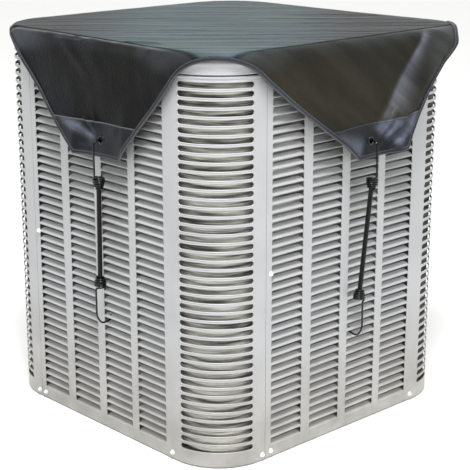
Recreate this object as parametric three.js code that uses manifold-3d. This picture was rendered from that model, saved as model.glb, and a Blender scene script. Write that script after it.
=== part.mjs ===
// Air conditioner cover: one square of coated cloth laid diagonally over a condenser cabinet.
// Its four tips hang down the faces and are held by bungee cords hooked under a louvre.
// Millimetres, +Z up. The origin is the middle of the cabinet's underside, on the ground.
import * as THREE from 'three';
import { mergeVertices } from 'three/addons/utils/BufferGeometryUtils.js';
import Module from 'manifold-3d';

const wasm = await Module();
wasm.setup();

// Cabinet
const cabinetHeight = 805;
const cabinetHalfWidth = 350;
const cornerRadius = 117;
const coreHalf = cabinetHalfWidth - cornerRadius;
const contactGap = 0.3;
const basePanHeight = 26;
const basePanEdge = 2;
const panelBottom = 3;
const capHeight = 40;
const capEdgeRound = 3;
const panelThickness = 2;
const panelInset = 2;
const panelSeamAlongFace = -218;
const seamGap = 0.6;
const cornerSteps = 8;

// Louvres are pressed inwards row by row: the lip at the foot of each stays flush with the panel.
// The gap under one lip on each face takes the bungee's lower hook, with free space behind it.
const louvreWidth = 85;
const hookedLouvreAlong = 55;
const louvrePitch = 16.9;
const lowestLip = 41.5;
const louvreGap = 9;
const freeSpace = { behind: 12, above: 14, below: 3 };

// Cover cloth
const sheetSide = 940;
const sheetThickness = 2;
const sheetShift = new THREE.Vector2(11, 1.5);
const sheetTurn = 0.0174;
const tipDrop = 245;
const clothAboveCap = 3;
const hemWidth = 9;
const patchHeight = 61;
const patchThickness = 1;

// Eyelets, in the cloth's flat pattern: up from the tip's cut edge
const eyeletUpFromCut = 35;
const eyeletInnerRadius = 5.5;
const eyeletBarrelWall = 0.9;
const eyeletFlangeRadius = 9.5;
const eyeletFlangeThickness = 1;
const eyeletEdge = 0.5;
const eyeletSides = 16;
const cutterLength = 20;

// Bungees
const cordDiameter = 9.6;
const wireDiameter = 3.2;
const coilRadiusWide = 12.5;
const coilRadiusNarrow = 7;
const coilLength = 25;
const coilTaperFrom = 0.55;
const coilEdge = 1;
const upperBend = { halfWidth: 12.5, halfHeight: 9.5, outFromCloth: 7, seatRise: 4 };
const upperHookLength = 72;
const lowerShankOut = 31;
const lowerHookLength = 70;
const hookPointBehind = 4.6;
const hookPointRise = 7;
const wireEndInCoil = 4;
const wireSteps = 20;

// How the cloth leaves the cabinet's edge, round the cabinet in eight stations.
// standOff: cloth's distance from the face. roll: radius of its fold. tilt: its slope outwards.
// lean: how far it slips along the face for each millimetre it falls. cup: how far a tip's sides curl out.
const stations = [
  { at: 'south', standOff: 18, roll: 20, tilt: 0.02, lean: 0.19, cup: 12 },
  { at: 'east corner', standOff: 57, roll: 51, tilt: 0, lean: 0, cup: 0 },
  { at: 'east', standOff: 9, roll: 10, tilt: 0.025, lean: 0, cup: 10 },
  { at: 'far corner', standOff: 5, roll: 8, tilt: 0, lean: 0, cup: 0 },
  { at: 'north', standOff: 9, roll: 10, tilt: 0.025, lean: 0, cup: 10 },
  { at: 'west corner', standOff: 5, roll: 10, tilt: 0, lean: 0, cup: 0 },
  { at: 'west', standOff: 9, roll: 10, tilt: 0.025, lean: 0.07, cup: 10 },
  { at: 'near corner', standOff: 4, roll: 7, tilt: 0, lean: 0, cup: 0 },
];
const cupStartsDown = 90;
const cupFullDown = 230;
const cupFlatHalfWidth = 20;
const cupCurlWidth = 50;
const cupLimit = 1.3;

// The soft ridge that runs down the south flap from its right end to the patch.
const southRidge = {
  alongTop: 262,
  alongBottom: 118,
  widthTop: 20,
  widthBottom: 42,
  height: 11,
  down: 175,
  risesIn: 30,
  fadesFrom: 130,
  fadesIn: 70,
};

// The four faces, counterclockwise.
// eyeletAlong: the eyelet's shift along the face, in the flat pattern.
// hookedLip: which lip the lower hook holds, counted from the lowest.
// cordDrift: how far the cord leans along the face on its way down.
const faces = [
  { name: 'south', normal: [0, -1], along: [1, 0], eyeletAlong: -15, hookedLip: 10, cordDrift: -18 },
  { name: 'east', normal: [1, 0], along: [0, 1], eyeletAlong: 0, hookedLip: 11, cordDrift: 24 },
  { name: 'north', normal: [0, 1], along: [-1, 0], eyeletAlong: 0, hookedLip: 11, cordDrift: 28 },
  { name: 'west', normal: [-1, 0], along: [0, -1], eyeletAlong: 13, hookedLip: 12, cordDrift: -10 },
];
const quarterTurn = Math.PI / 2;

// Finishes
const clothBlack = new THREE.MeshStandardMaterial({ color: 0x2c2f31, roughness: 0.6, metalness: 0 });
const patchBlack = new THREE.MeshStandardMaterial({ color: 0x34363f, roughness: 0.6, metalness: 0 });
const blackEnamel = new THREE.MeshStandardMaterial({ color: 0x2a2a2c, roughness: 0.25, metalness: 0.6 });
const blackWire = new THREE.MeshStandardMaterial({ color: 0x141516, roughness: 0.3, metalness: 0.6 });
const blackCord = new THREE.MeshStandardMaterial({ color: 0x1b1c1e, roughness: 0.8, metalness: 0 });
const greyPaint = new THREE.MeshStandardMaterial({ color: 0xc4c1bd, roughness: 0.5, metalness: 0.2 });
const finGrey = new THREE.MeshStandardMaterial({ color: 0x6d6a64, roughness: 0.6, metalness: 0.5 });

const object = new THREE.Group();

function addMesh(name, geometry, material, parent = object) {
  const mesh = new THREE.Mesh(geometry, material);
  mesh.name = name;
  parent.add(mesh);
  return mesh;
}

// Joins and cuts of closed geometries

function positionsOnly(geometry) {
  const bare = geometry.clone();
  bare.deleteAttribute('normal');
  bare.deleteAttribute('uv');
  return mergeVertices(bare, 0.0001);
}

function toSolid(geometry) {
  const merged = positionsOnly(geometry);
  return new wasm.Manifold(new wasm.Mesh({
    numProp: 3,
    vertProperties: merged.attributes.position.array,
    triVerts: Uint32Array.from(merged.index.array),
  }));
}

function toGeometry(solid) {
  const mesh = solid.getMesh();
  const geometry = new THREE.BufferGeometry();
  geometry.setAttribute('position', new THREE.BufferAttribute(mesh.vertProperties, 3));
  geometry.setIndex(new THREE.BufferAttribute(mesh.triVerts, 1));
  geometry.computeVertexNormals();
  return geometry;
}

function join(geometries) {
  return toGeometry(geometries.map(toSolid).reduce((whole, piece) => whole.add(piece)));
}

function cut(geometry, tool) {
  return toGeometry(toSolid(geometry).subtract(toSolid(tool)));
}

function keepInside(geometry, tool) {
  return toGeometry(toSolid(geometry).intersect(toSolid(tool)));
}

// The draped cloth

function smoothStep(value) {
  const t = THREE.MathUtils.clamp(value, 0, 1);
  return t * t * (3 - 2 * t);
}

// A plan point's nearest point on the core square, its direction outwards and its place round the cabinet.
function placeRound(x, y) {
  const coreX = THREE.MathUtils.clamp(x, -coreHalf, coreHalf);
  const coreY = THREE.MathUtils.clamp(y, -coreHalf, coreHalf);
  const reach = Math.hypot(x - coreX, y - coreY);
  const outX = (x - coreX) / reach;
  const outY = (y - coreY) / reach;
  const turns = THREE.MathUtils.euclideanModulo(Math.atan2(outY, outX) / quarterTurn + 1, 4);
  const side = Math.round(turns) % 4;
  let station = 2 * Math.floor(turns) + 0.5 + (turns - Math.floor(turns));
  if (Math.abs(turns - Math.round(turns)) < 1e-7) {
    const [alongX, alongY] = faces[side].along;
    station = 2 * side + 0.5 * (coreX * alongX + coreY * alongY) / coreHalf;
  }
  return { coreX, coreY, outX, outY, reach, side, station: THREE.MathUtils.euclideanModulo(station, 8) };
}

function blendStations(place) {
  const index = Math.floor(place.station) % 8;
  const from = stations[index];
  const to = stations[(index + 1) % 8];
  const share = smoothStep(place.station - Math.floor(place.station));
  const blended = {};
  for (const key of ['standOff', 'roll', 'tilt', 'lean', 'cup']) {
    blended[key] = from[key] * (1 - share) + to[key] * share;
  }
  return blended;
}

function foldStart(fold) {
  return cornerRadius + fold.standOff - fold.roll;
}

function southRidgeHeight(along, down) {
  const fall = THREE.MathUtils.clamp(down / southRidge.down, 0, 1);
  const middle = THREE.MathUtils.lerp(southRidge.alongTop, southRidge.alongBottom, fall);
  const width = THREE.MathUtils.lerp(southRidge.widthTop, southRidge.widthBottom, fall);
  const rise = smoothStep(down / southRidge.risesIn);
  const fade = 1 - smoothStep((down - southRidge.fadesFrom) / southRidge.fadesIn);
  return southRidge.height * rise * fade * Math.exp(-(((along - middle) / width) ** 2));
}

// Plan coordinates of a point of the flat pattern, whose axes are the sheet's own diagonals.
function layFlat(u, v) {
  return new THREE.Vector2(u, v).rotateAround(new THREE.Vector2(), sheetTurn).add(sheetShift);
}

const tipReach = cabinetHalfWidth + tipDrop;
const tipHalfWidth = sheetSide / Math.SQRT2 - tipReach;

function eyeletPlan(face) {
  const outwards = tipReach - eyeletUpFromCut;
  return layFlat(
    face.normal[0] * outwards + face.along[0] * face.eyeletAlong,
    face.normal[1] * outwards + face.along[1] * face.eyeletAlong,
  );
}

function alongFace(point, face) {
  return point.x * face.along[0] + point.y * face.along[1];
}

// Where a plan point of the laid-out cloth comes to hang. Middle surface of the cloth.
function drape(x, y) {
  const onTop = new THREE.Vector3(x, y, cabinetHeight + clothAboveCap);
  if (Math.abs(x) <= coreHalf && Math.abs(y) <= coreHalf) return onTop;
  const place = placeRound(x, y);
  const fold = blendStations(place);
  const past = place.reach - foldStart(fold);
  if (past <= 0) return onTop;
  const fullAngle = quarterTurn - fold.tilt;
  const angle = Math.min(past / fold.roll, fullAngle);
  const fallen = Math.max(past - fold.roll * fullAngle, 0);
  let out = foldStart(fold) + fold.roll * Math.sin(angle) + fallen * Math.sin(fold.tilt);
  const down = fold.roll * (1 - Math.cos(angle)) + fallen * Math.cos(fold.tilt);
  const face = faces[place.side];
  const along = place.coreX * face.along[0] + place.coreY * face.along[1];
  const fromEyelet = Math.abs(along - alongFace(eyeletPlan(face), face));
  const sideways = Math.max(fromEyelet - cupFlatHalfWidth, 0) / cupCurlWidth;
  const cupShare = smoothStep((down - cupStartsDown) / (cupFullDown - cupStartsDown));
  out += fold.cup * Math.min(sideways ** 2, cupLimit) * cupShare;
  if (face.name === 'south') out += southRidgeHeight(along + fold.lean * down, down);
  const slip = fold.lean * down;
  return new THREE.Vector3(
    place.coreX + place.outX * out - place.outY * slip,
    place.coreY + place.outY * out + place.outX * slip,
    cabinetHeight + clothAboveCap - down,
  );
}

function drapedNormal(x, y) {
  const step = 0.5;
  const alongX = drape(x + step, y).sub(drape(x - step, y));
  const alongY = drape(x, y + step).sub(drape(x, y - step));
  return alongX.cross(alongY).normalize();
}

function offsetPoint(x, y, height) {
  return drape(x, y).addScaledVector(drapedNormal(x, y), height);
}

// The flat pattern is an octagon: four long hems at 45 degrees and four short cuts at the tips.
const hemLines = [0, 1, 2, 3, 4, 5, 6, 7].map((index) => {
  const direction = index * quarterTurn / 2 + sheetTurn;
  const normal = new THREE.Vector2(Math.cos(direction), Math.sin(direction));
  const distance = (index % 2 === 0 ? tipReach : sheetSide / 2) + normal.dot(sheetShift);
  return { normal, distance };
});

function hemReach(core, outwards) {
  let reach = Infinity;
  for (const line of hemLines) {
    const facing = line.normal.dot(outwards);
    if (facing > 1e-6) reach = Math.min(reach, (line.distance - line.normal.dot(core)) / facing);
  }
  return reach;
}

function tipCorners(face) {
  return [-1, 1].map((side) => {
    const u = face.normal[0] * tipReach + side * face.along[0] * tipHalfWidth;
    const v = face.normal[1] * tipReach + side * face.along[1] * tipHalfWidth;
    return alongFace(layFlat(u, v), face);
  });
}

const besideTipSteps = 8;
const tipSteps = 6;
const columnsPerSide = 2 * besideTipSteps + tipSteps + cornerSteps;
const patchExtraColumns = 4;
const patchRings = 2;
const rollSteps = 4;
const fallSteps = 5;
const flatRingShare = 0.5;
const rollLimit = 0.8;

// Columns of the cloth's grid run outwards from the core square, all the way round.
function clothColumns() {
  const columns = [];
  for (const face of faces) {
    const [left, right] = tipCorners(face);
    const stretches = [
      { from: -coreHalf, to: left, steps: besideTipSteps },
      { from: left, to: right, steps: tipSteps },
      { from: right, to: coreHalf, steps: besideTipSteps },
    ];
    stretches.forEach(({ from, to, steps }) => {
      for (let step = 0; step < steps; step += 1) {
        const along = THREE.MathUtils.lerp(from, to, step / steps);
        const x = face.normal[0] * coreHalf + face.along[0] * along;
        const y = face.normal[1] * coreHalf + face.along[1] * along;
        columns.push({ core: new THREE.Vector2(x, y), outwards: new THREE.Vector2(...face.normal) });
      }
    });
    const corner = new THREE.Vector2(
      (face.normal[0] + face.along[0]) * coreHalf,
      (face.normal[1] + face.along[1]) * coreHalf,
    );
    for (let step = 0; step < cornerSteps; step += 1) {
      const turn = (step / cornerSteps) * quarterTurn;
      const outwards = new THREE.Vector2(...face.normal).rotateAround(new THREE.Vector2(), turn);
      columns.push({ core: corner, outwards });
    }
  }
  return columns;
}

function columnReaches(column) {
  const edge = hemReach(column.core, column.outwards);
  const onEdge = column.core.clone().addScaledVector(column.outwards, cornerRadius);
  const fold = blendStations(placeRound(onEdge.x, onEdge.y));
  const start = foldStart(fold);
  const rollLength = Math.min(fold.roll * (quarterTurn - fold.tilt), rollLimit * (edge - start));
  const reaches = [flatRingShare * start, start];
  for (let step = 1; step <= rollSteps; step += 1) reaches.push(start + (rollLength * step) / rollSteps);
  for (let step = 1; step <= fallSteps; step += 1) {
    reaches.push(THREE.MathUtils.lerp(start + rollLength, edge, step / fallSteps));
  }
  return reaches;
}

const clothGrid = clothColumns().map((column) => ({ ...column, reaches: columnReaches(column) }));
const ringCount = clothGrid[0].reaches.length;

function gridPoint(column, ring, height) {
  const flat = column.core.clone().addScaledVector(column.outwards, column.reaches[ring]);
  return offsetPoint(flat.x, flat.y, height);
}

function indexedGeometry(points, triangles) {
  const geometry = new THREE.BufferGeometry().setFromPoints(points);
  geometry.setIndex(triangles);
  geometry.computeVertexNormals();
  return geometry;
}

// The whole cloth: a fan in the middle, bands outwards and a strip round the edge.
function coverGeometry() {
  const columnCount = clothGrid.length;
  const half = sheetThickness / 2;
  const points = [];
  for (const height of [half, -half]) {
    points.push(new THREE.Vector3(0, 0, cabinetHeight + clothAboveCap + height));
    for (let ring = 0; ring < ringCount; ring += 1) {
      for (const column of clothGrid) points.push(gridPoint(column, ring, height));
    }
  }
  const layerSize = 1 + ringCount * columnCount;
  const at = (layer, ring, column) => layer * layerSize + 1 + ring * columnCount + (column % columnCount);
  const triangles = [];
  const quad = (a, b, c, d) => triangles.push(a, b, c, a, c, d);
  const last = ringCount - 1;
  for (let column = 0; column < columnCount; column += 1) {
    const next = column + 1;
    triangles.push(0, at(0, 0, column), at(0, 0, next));
    triangles.push(layerSize, at(1, 0, next), at(1, 0, column));
    for (let ring = 0; ring < last; ring += 1) {
      quad(at(0, ring, column), at(0, ring + 1, column), at(0, ring + 1, next), at(0, ring, next));
      quad(at(1, ring, column), at(1, ring, next), at(1, ring + 1, next), at(1, ring + 1, column));
    }
    quad(at(0, last, column), at(1, last, column), at(1, last, next), at(0, last, next));
  }
  return indexedGeometry(points, triangles);
}

// A slab over the outer side of one tip, on the same grid as the cloth under it.
function tipSlab(faceIndex) {
  const first = faceIndex * columnsPerSide + besideTipSteps - patchExtraColumns;
  const columns = clothGrid.slice(first, first + tipSteps + 2 * patchExtraColumns + 1);
  const firstRing = ringCount - 1 - patchRings;
  const low = sheetThickness / 2 + contactGap;
  const points = [];
  for (const height of [low + patchThickness, low]) {
    for (let ring = firstRing; ring < ringCount; ring += 1) {
      for (const column of columns) points.push(gridPoint(column, ring, height));
    }
  }
  const width = columns.length;
  const layerSize = (patchRings + 1) * width;
  const at = (layer, row, column) => layer * layerSize + row * width + column;
  const triangles = [];
  const quad = (a, b, c, d) => triangles.push(a, b, c, a, c, d);
  const right = width - 1;
  for (let row = 0; row < patchRings; row += 1) {
    for (let column = 0; column < right; column += 1) {
      quad(at(0, row, column), at(0, row + 1, column), at(0, row + 1, column + 1), at(0, row, column + 1));
      quad(at(1, row, column), at(1, row, column + 1), at(1, row + 1, column + 1), at(1, row + 1, column));
    }
    quad(at(0, row, 0), at(1, row, 0), at(1, row + 1, 0), at(0, row + 1, 0));
    quad(at(0, row, right), at(0, row + 1, right), at(1, row + 1, right), at(1, row, right));
  }
  for (let column = 0; column < right; column += 1) {
    quad(at(0, 0, column), at(0, 0, column + 1), at(1, 0, column + 1), at(1, 0, column));
    quad(at(0, patchRings, column), at(1, patchRings, column),
      at(1, patchRings, column + 1), at(0, patchRings, column + 1));
  }
  return indexedGeometry(points, triangles);
}

// A patch is the part of that slab inside the hem, up to its own top edge.
function patchGeometry(face, faceIndex) {
  const bottom = tipReach - hemWidth;
  const top = bottom - patchHeight;
  const outline = [[bottom, -1], [bottom, 1], [top, 1], [top, -1]].map(([outwards, side]) => {
    const halfWidth = sheetSide / Math.SQRT2 - outwards - hemWidth * Math.SQRT2;
    const flat = layFlat(
      face.normal[0] * outwards + face.along[0] * side * halfWidth,
      face.normal[1] * outwards + face.along[1] * side * halfWidth,
    );
    const hung = drape(flat.x, flat.y);
    return new THREE.Vector2(alongFace(hung, face), hung.z);
  });
  const prism = new THREE.ExtrudeGeometry(new THREE.Shape(outline), {
    depth: cornerRadius,
    bevelEnabled: false,
  });
  prism.applyMatrix4(new THREE.Matrix4().makeBasis(
    new THREE.Vector3(...face.along, 0),
    new THREE.Vector3(0, 0, 1),
    new THREE.Vector3(...face.normal, 0),
  ));
  prism.translate(face.normal[0] * cabinetHalfWidth, face.normal[1] * cabinetHalfWidth, 0);
  return keepInside(tipSlab(faceIndex), prism);
}

// Eyelets

function eyeletFrame(face) {
  const plan = eyeletPlan(face);
  const middle = drape(plan.x, plan.y);
  const turn = new THREE.Quaternion().setFromUnitVectors(
    new THREE.Vector3(0, 0, 1),
    drapedNormal(plan.x, plan.y),
  );
  return new THREE.Matrix4().compose(middle, turn, new THREE.Vector3(1, 1, 1));
}

const clampInner = -sheetThickness / 2 - contactGap;
const clampOuter = sheetThickness / 2 + 2 * contactGap + patchThickness;
const barrelRadius = eyeletInnerRadius + eyeletBarrelWall;

function eyeletGeometry() {
  const profile = [
    [eyeletInnerRadius, clampInner - eyeletFlangeThickness],
    [eyeletFlangeRadius, clampInner - eyeletFlangeThickness],
    [eyeletFlangeRadius, clampInner],
    [barrelRadius, clampInner],
    [barrelRadius, clampOuter],
    [eyeletFlangeRadius, clampOuter],
    [eyeletFlangeRadius - eyeletEdge, clampOuter + eyeletFlangeThickness],
    [eyeletInnerRadius, clampOuter + eyeletFlangeThickness],
    [eyeletInnerRadius, clampInner - eyeletFlangeThickness],
  ].map(([radius, height]) => new THREE.Vector2(radius, height));
  return new THREE.LatheGeometry(profile, eyeletSides).rotateX(quarterTurn);
}

function eyeletHole() {
  const radius = barrelRadius + contactGap;
  return new THREE.CylinderGeometry(radius, radius, cutterLength, eyeletSides).rotateX(quarterTurn);
}

// Bungees, modelled for the south face and turned to their own: x along the face, -y outwards, z up.

function inFace(along, out, up) {
  return new THREE.Vector3(along, -out, up);
}

function tube(points, radius, steps, halfSides) {
  const outline = new THREE.Shape();
  outline.absarc(0, 0, radius, 0, 2 * Math.PI, false);
  return new THREE.ExtrudeGeometry(outline, {
    steps,
    curveSegments: halfSides,
    bevelEnabled: false,
    extrudePath: new THREE.CatmullRomCurve3(points, false, 'centripetal'),
  });
}

// The outer shape of a hook's coil: wide where the wire leaves it, narrow where it grips the cord.
function coilGeometry(wideEnd, narrowEnd) {
  const direction = narrowEnd.clone().sub(wideEnd);
  const length = direction.length();
  const profile = [
    [0, 0],
    [coilRadiusWide - coilEdge, 0],
    [coilRadiusWide, coilEdge],
    [coilRadiusWide, coilTaperFrom * length],
    [coilRadiusNarrow, length],
    [0, length],
  ].map(([radius, height]) => new THREE.Vector2(radius, height));
  const coil = new THREE.LatheGeometry(profile, 12);
  coil.applyQuaternion(new THREE.Quaternion().setFromUnitVectors(
    new THREE.Vector3(0, 1, 0),
    direction.normalize(),
  ));
  return coil.translate(wideEnd.x, wideEnd.y, wideEnd.z);
}

// The oval bend over the top of the upper hook, from its point to its shank.
function upperBendPoints(along, out, up) {
  const steps = 8;
  return Array.from({ length: steps + 1 }, (_, step) => {
    const angle = Math.PI * (1 - step / steps);
    const outwards = upperBend.halfWidth * Math.cos(angle);
    return inFace(along, out + outwards, up + upperBend.halfHeight * Math.sin(angle));
  });
}

// The foot of the lower hook: up behind the lip, under it and out to the shank.
function lowerBendPoints(along, panelOut, lipUp) {
  const clear = wireDiameter / 2 + contactGap;
  return [
    [-hookPointBehind, hookPointRise],
    [-hookPointBehind, 0.4 * hookPointRise],
    [-clear - panelThickness, -clear],
    [0, -2 * clear],
    [0.3 * lowerShankOut, -2.9 * clear],
    [0.62 * lowerShankOut, -2 * clear],
    [0.88 * lowerShankOut, 3 * clear],
    [lowerShankOut, 9 * clear],
  ].map(([outwards, rise]) => inFace(along, panelOut + outwards, lipUp + rise));
}

function lipHeight(face) {
  return lowestLip + face.hookedLip * louvrePitch;
}

function bungee(face) {
  const plan = eyeletPlan(face);
  const hole = drape(plan.x, plan.y);
  const along = alongFace(hole, face);
  const holeOut = hole.x * face.normal[0] + hole.y * face.normal[1];
  const wireRadius = wireDiameter / 2;
  const coilInset = coilRadiusWide - wireRadius;

  const bendOut = holeOut + upperBend.outFromCloth;
  const bendUp = hole.z - eyeletInnerRadius + wireRadius + upperBend.seatRise - upperBend.halfHeight;
  const upperShank = bendOut + upperBend.halfWidth;
  const upperCoilUp = hole.z - upperHookLength;
  const upperPath = [
    ...upperBendPoints(along, bendOut, bendUp),
    inFace(along, upperShank, THREE.MathUtils.lerp(bendUp, upperCoilUp, 0.5)),
    inFace(along, upperShank, upperCoilUp - wireEndInCoil),
  ];

  const lowAlong = along + face.cordDrift;
  const panelOut = cabinetHalfWidth - panelInset;
  const lowerShank = panelOut + lowerShankOut;
  const lowerCoilUp = lipHeight(face) + lowerHookLength;
  const lowerPath = [
    ...lowerBendPoints(lowAlong, panelOut, lipHeight(face)),
    inFace(lowAlong, lowerShank, lipHeight(face) + 0.6 * lowerHookLength),
    inFace(lowAlong, lowerShank, lowerCoilUp + wireEndInCoil),
  ];

  const cordStart = inFace(along, upperShank - coilInset, upperCoilUp);
  const cordEnd = inFace(lowAlong, lowerShank - coilInset, lowerCoilUp);
  const pull = cordEnd.clone().sub(cordStart).normalize();
  const upperCoilEnd = cordStart.clone().addScaledVector(pull, coilLength);
  const lowerCoilEnd = cordEnd.clone().addScaledVector(pull, -coilLength);
  const cordPoints = [
    upperCoilEnd.clone().addScaledVector(pull, contactGap),
    upperCoilEnd.clone().lerp(lowerCoilEnd, 1 / 3),
    upperCoilEnd.clone().lerp(lowerCoilEnd, 2 / 3),
    lowerCoilEnd.clone().addScaledVector(pull, -contactGap),
  ];
  return {
    upperHook: join([tube(upperPath, wireRadius, wireSteps, 3), coilGeometry(cordStart, upperCoilEnd)]),
    lowerHook: join([tube(lowerPath, wireRadius, wireSteps, 3), coilGeometry(cordEnd, lowerCoilEnd)]),
    cord: tube(cordPoints, cordDiameter / 2, cordPoints.length - 1, 5),
  };
}

// Cabinet

function roundedSquare(half, radius) {
  const shape = new THREE.Shape();
  const core = half - radius;
  shape.moveTo(core, -half);
  shape.absarc(core, -core, radius, -quarterTurn, 0, false);
  shape.absarc(core, core, radius, 0, quarterTurn, false);
  shape.absarc(-core, core, radius, quarterTurn, 2 * quarterTurn, false);
  shape.absarc(-core, -core, radius, 2 * quarterTurn, 3 * quarterTurn, false);
  shape.closePath();
  return shape;
}

function uprightBlock(half, radius, bottom, top, bevel = 0) {
  const geometry = new THREE.ExtrudeGeometry(roundedSquare(half - bevel, radius - bevel), {
    depth: top - bottom - 2 * bevel,
    curveSegments: cornerSteps,
    bevelEnabled: bevel > 0,
    bevelThickness: bevel,
    bevelSize: bevel,
    bevelSegments: 1,
  });
  geometry.translate(0, 0, bottom + bevel);
  return geometry;
}

// One wrap panel covers a face and the rounded corner after it. This one is the south panel.
function panelGeometry() {
  const outer = cabinetHalfWidth - panelInset;
  const inner = outer - panelThickness;
  const outerRadius = cornerRadius - panelInset;
  const innerRadius = outerRadius - panelThickness;
  const start = panelSeamAlongFace + seamGap / 2;
  const end = panelSeamAlongFace - seamGap / 2;
  const shape = new THREE.Shape();
  shape.moveTo(start, -outer);
  shape.lineTo(coreHalf, -outer);
  shape.absarc(coreHalf, -coreHalf, outerRadius, -quarterTurn, 0, false);
  shape.lineTo(outer, end);
  shape.lineTo(inner, end);
  shape.lineTo(inner, -coreHalf);
  shape.absarc(coreHalf, -coreHalf, innerRadius, 0, -quarterTurn, true);
  shape.lineTo(start, -inner);
  shape.closePath();
  const geometry = new THREE.ExtrudeGeometry(shape, {
    depth: cabinetHeight - capHeight - contactGap - panelBottom,
    curveSegments: cornerSteps,
    bevelEnabled: false,
  });
  return geometry.translate(0, 0, panelBottom);
}

// Cutters for the gap under the hooked lip and for the free space behind it, for the south face.
function louvreGapCutter(face) {
  const gap = new THREE.BoxGeometry(louvreWidth, cutterLength, louvreGap);
  return gap.translate(hookedLouvreAlong, -cabinetHalfWidth, lipHeight(face) - louvreGap / 2);
}

function freeSpaceCutter(face) {
  const height = freeSpace.below + louvreGap + freeSpace.above;
  const space = new THREE.BoxGeometry(louvreWidth, freeSpace.behind, height);
  space.translate(
    hookedLouvreAlong,
    freeSpace.behind / 2 - cabinetHalfWidth + panelInset + panelThickness,
    lipHeight(face) - louvreGap - freeSpace.below + height / 2,
  );
  return space.rotateZ(faceTurn(face));
}

function faceTurn(face) {
  return Math.atan2(face.along[1], face.along[0]);
}

// The base pan and the block stand just inside the panels
const insideHalf = cabinetHalfWidth - panelInset - panelThickness - contactGap;
const insideRadius = cornerRadius - cabinetHalfWidth + insideHalf;
addMesh('base_pan', uprightBlock(insideHalf, insideRadius, 0, basePanHeight, basePanEdge), greyPaint);
const block = uprightBlock(insideHalf, insideRadius, basePanHeight + contactGap,
  cabinetHeight - capHeight - contactGap);
addMesh('condenser_core', faces.map(freeSpaceCutter).reduce(cut, block), finGrey);
addMesh('top_cap', uprightBlock(cabinetHalfWidth, cornerRadius, cabinetHeight - capHeight, cabinetHeight,
  capEdgeRound), greyPaint);

let cover = coverGeometry();
faces.forEach((face, faceIndex) => {
  const frame = eyeletFrame(face);
  cover = cut(cover, eyeletHole().applyMatrix4(frame));
  const patch = cut(patchGeometry(face, faceIndex), eyeletHole().applyMatrix4(frame));
  addMesh(`patch_${face.name}`, patch, patchBlack);
  addMesh(`eyelet_${face.name}`, eyeletGeometry().applyMatrix4(frame), blackEnamel);

  const side = new THREE.Group();
  side.rotation.z = faceTurn(face);
  object.add(side);
  const parts = bungee(face);
  addMesh(`upper_hook_${face.name}`, parts.upperHook, blackWire, side);
  addMesh(`cord_${face.name}`, parts.cord, blackCord, side);
  addMesh(`lower_hook_${face.name}`, parts.lowerHook, blackWire, side);
  addMesh(`wrap_panel_${face.name}`, cut(panelGeometry(), louvreGapCutter(face)), greyPaint, side);
});
addMesh('cover', cover, clothBlack);

export default object;
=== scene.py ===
"""Looks for the air conditioner cover on its condenser cabinet.

The cloth, its hem, patches, eyelets and bungees, and the louvred cabinet under it.
Shapes are worked out in millimetres, in the part's own frame, and scaled to metres when a mesh is made.
"""

import math
from collections import namedtuple

import bmesh
import bpy
import numpy as np
from mathutils import Matrix, Vector, noise


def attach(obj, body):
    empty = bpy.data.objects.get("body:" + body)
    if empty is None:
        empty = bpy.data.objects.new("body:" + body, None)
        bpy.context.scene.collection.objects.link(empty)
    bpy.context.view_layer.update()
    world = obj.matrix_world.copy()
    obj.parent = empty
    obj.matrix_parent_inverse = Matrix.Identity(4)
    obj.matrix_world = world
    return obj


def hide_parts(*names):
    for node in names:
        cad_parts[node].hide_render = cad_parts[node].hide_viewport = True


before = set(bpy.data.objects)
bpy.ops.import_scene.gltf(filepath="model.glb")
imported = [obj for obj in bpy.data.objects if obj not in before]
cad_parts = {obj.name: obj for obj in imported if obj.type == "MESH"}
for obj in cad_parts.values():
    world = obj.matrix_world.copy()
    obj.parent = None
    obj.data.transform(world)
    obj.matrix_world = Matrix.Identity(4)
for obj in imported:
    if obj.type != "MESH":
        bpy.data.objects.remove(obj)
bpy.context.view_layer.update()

MM = 0.001

# Camera, fitted to the photograph
CAMERA_PLACE = (-1.9144, -2.0711, 1.1455)
CAMERA_TURN = (74.171, 0.0, -43.156)
CAMERA_LENS = 102.6
CAMERA_SENSOR = 36.0

# Cabinet
CABINET_HEIGHT = 805.0
CABINET_HALF = 350.0
CORNER_RADIUS = 117.0
CORE_HALF = CABINET_HALF - CORNER_RADIUS
CAP_HEIGHT = 40.0
PANEL_OUT = 348.0
PANEL_RADIUS = CORNER_RADIUS - (CABINET_HALF - PANEL_OUT)
PANEL_ARC = PANEL_RADIUS * math.pi / 2
PANEL_THICKNESS = 1.2
PANEL_BOTTOM = 3.0
PANEL_TOP = CABINET_HEIGHT - CAP_HEIGHT - 0.3
PANEL_FLAT_TOP = PANEL_TOP - 5.0
SEAM_ALONG = -218.0
SEAM_HALF_GAP, SEAM_DEPTH = 0.5, 2.5

# Louvres: four columns on each face, pressed inwards
LOUVRE_MIDDLES = (-160.5, -51.5, 55.5, 160.5)
LOUVRE_WIDTH = 85.0
LOUVRE_PITCH = 16.9
LOUVRE_ROWS = 43
LOWEST_LIP = 41.5
LIP_STRIP = 2.0
LIP_PROUD = 0.7
LOUVRE_MARGIN = 1.0
WINDOW_ROUND = 3.5
WINDOW_STEPS = 8
SLAT_RISE = 7.6
SLAT_DEPTH = 8.5
SLAT_CORNER_ALONG = 10.0
SLAT_CORNER_SHARE = 0.45

# Slots in each rounded corner
SLOT_COUNT = 43
SLOT_LOWEST = 38.6
SLOT_HEIGHT = 10.6
SLOT_FROM = CORE_HALF + PANEL_RADIUS * math.radians(6.5)
SLOT_TO = CORE_HALF + PANEL_RADIUS * math.radians(81.5)
SLOT_MARGIN = 3.0
SLOT_STEPS = 16
SLOT_RIM_WIDTH, SLOT_RIM_PROUD, SLOT_EDGE_DEPTH = 1.1, 0.7, 0.5

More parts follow.
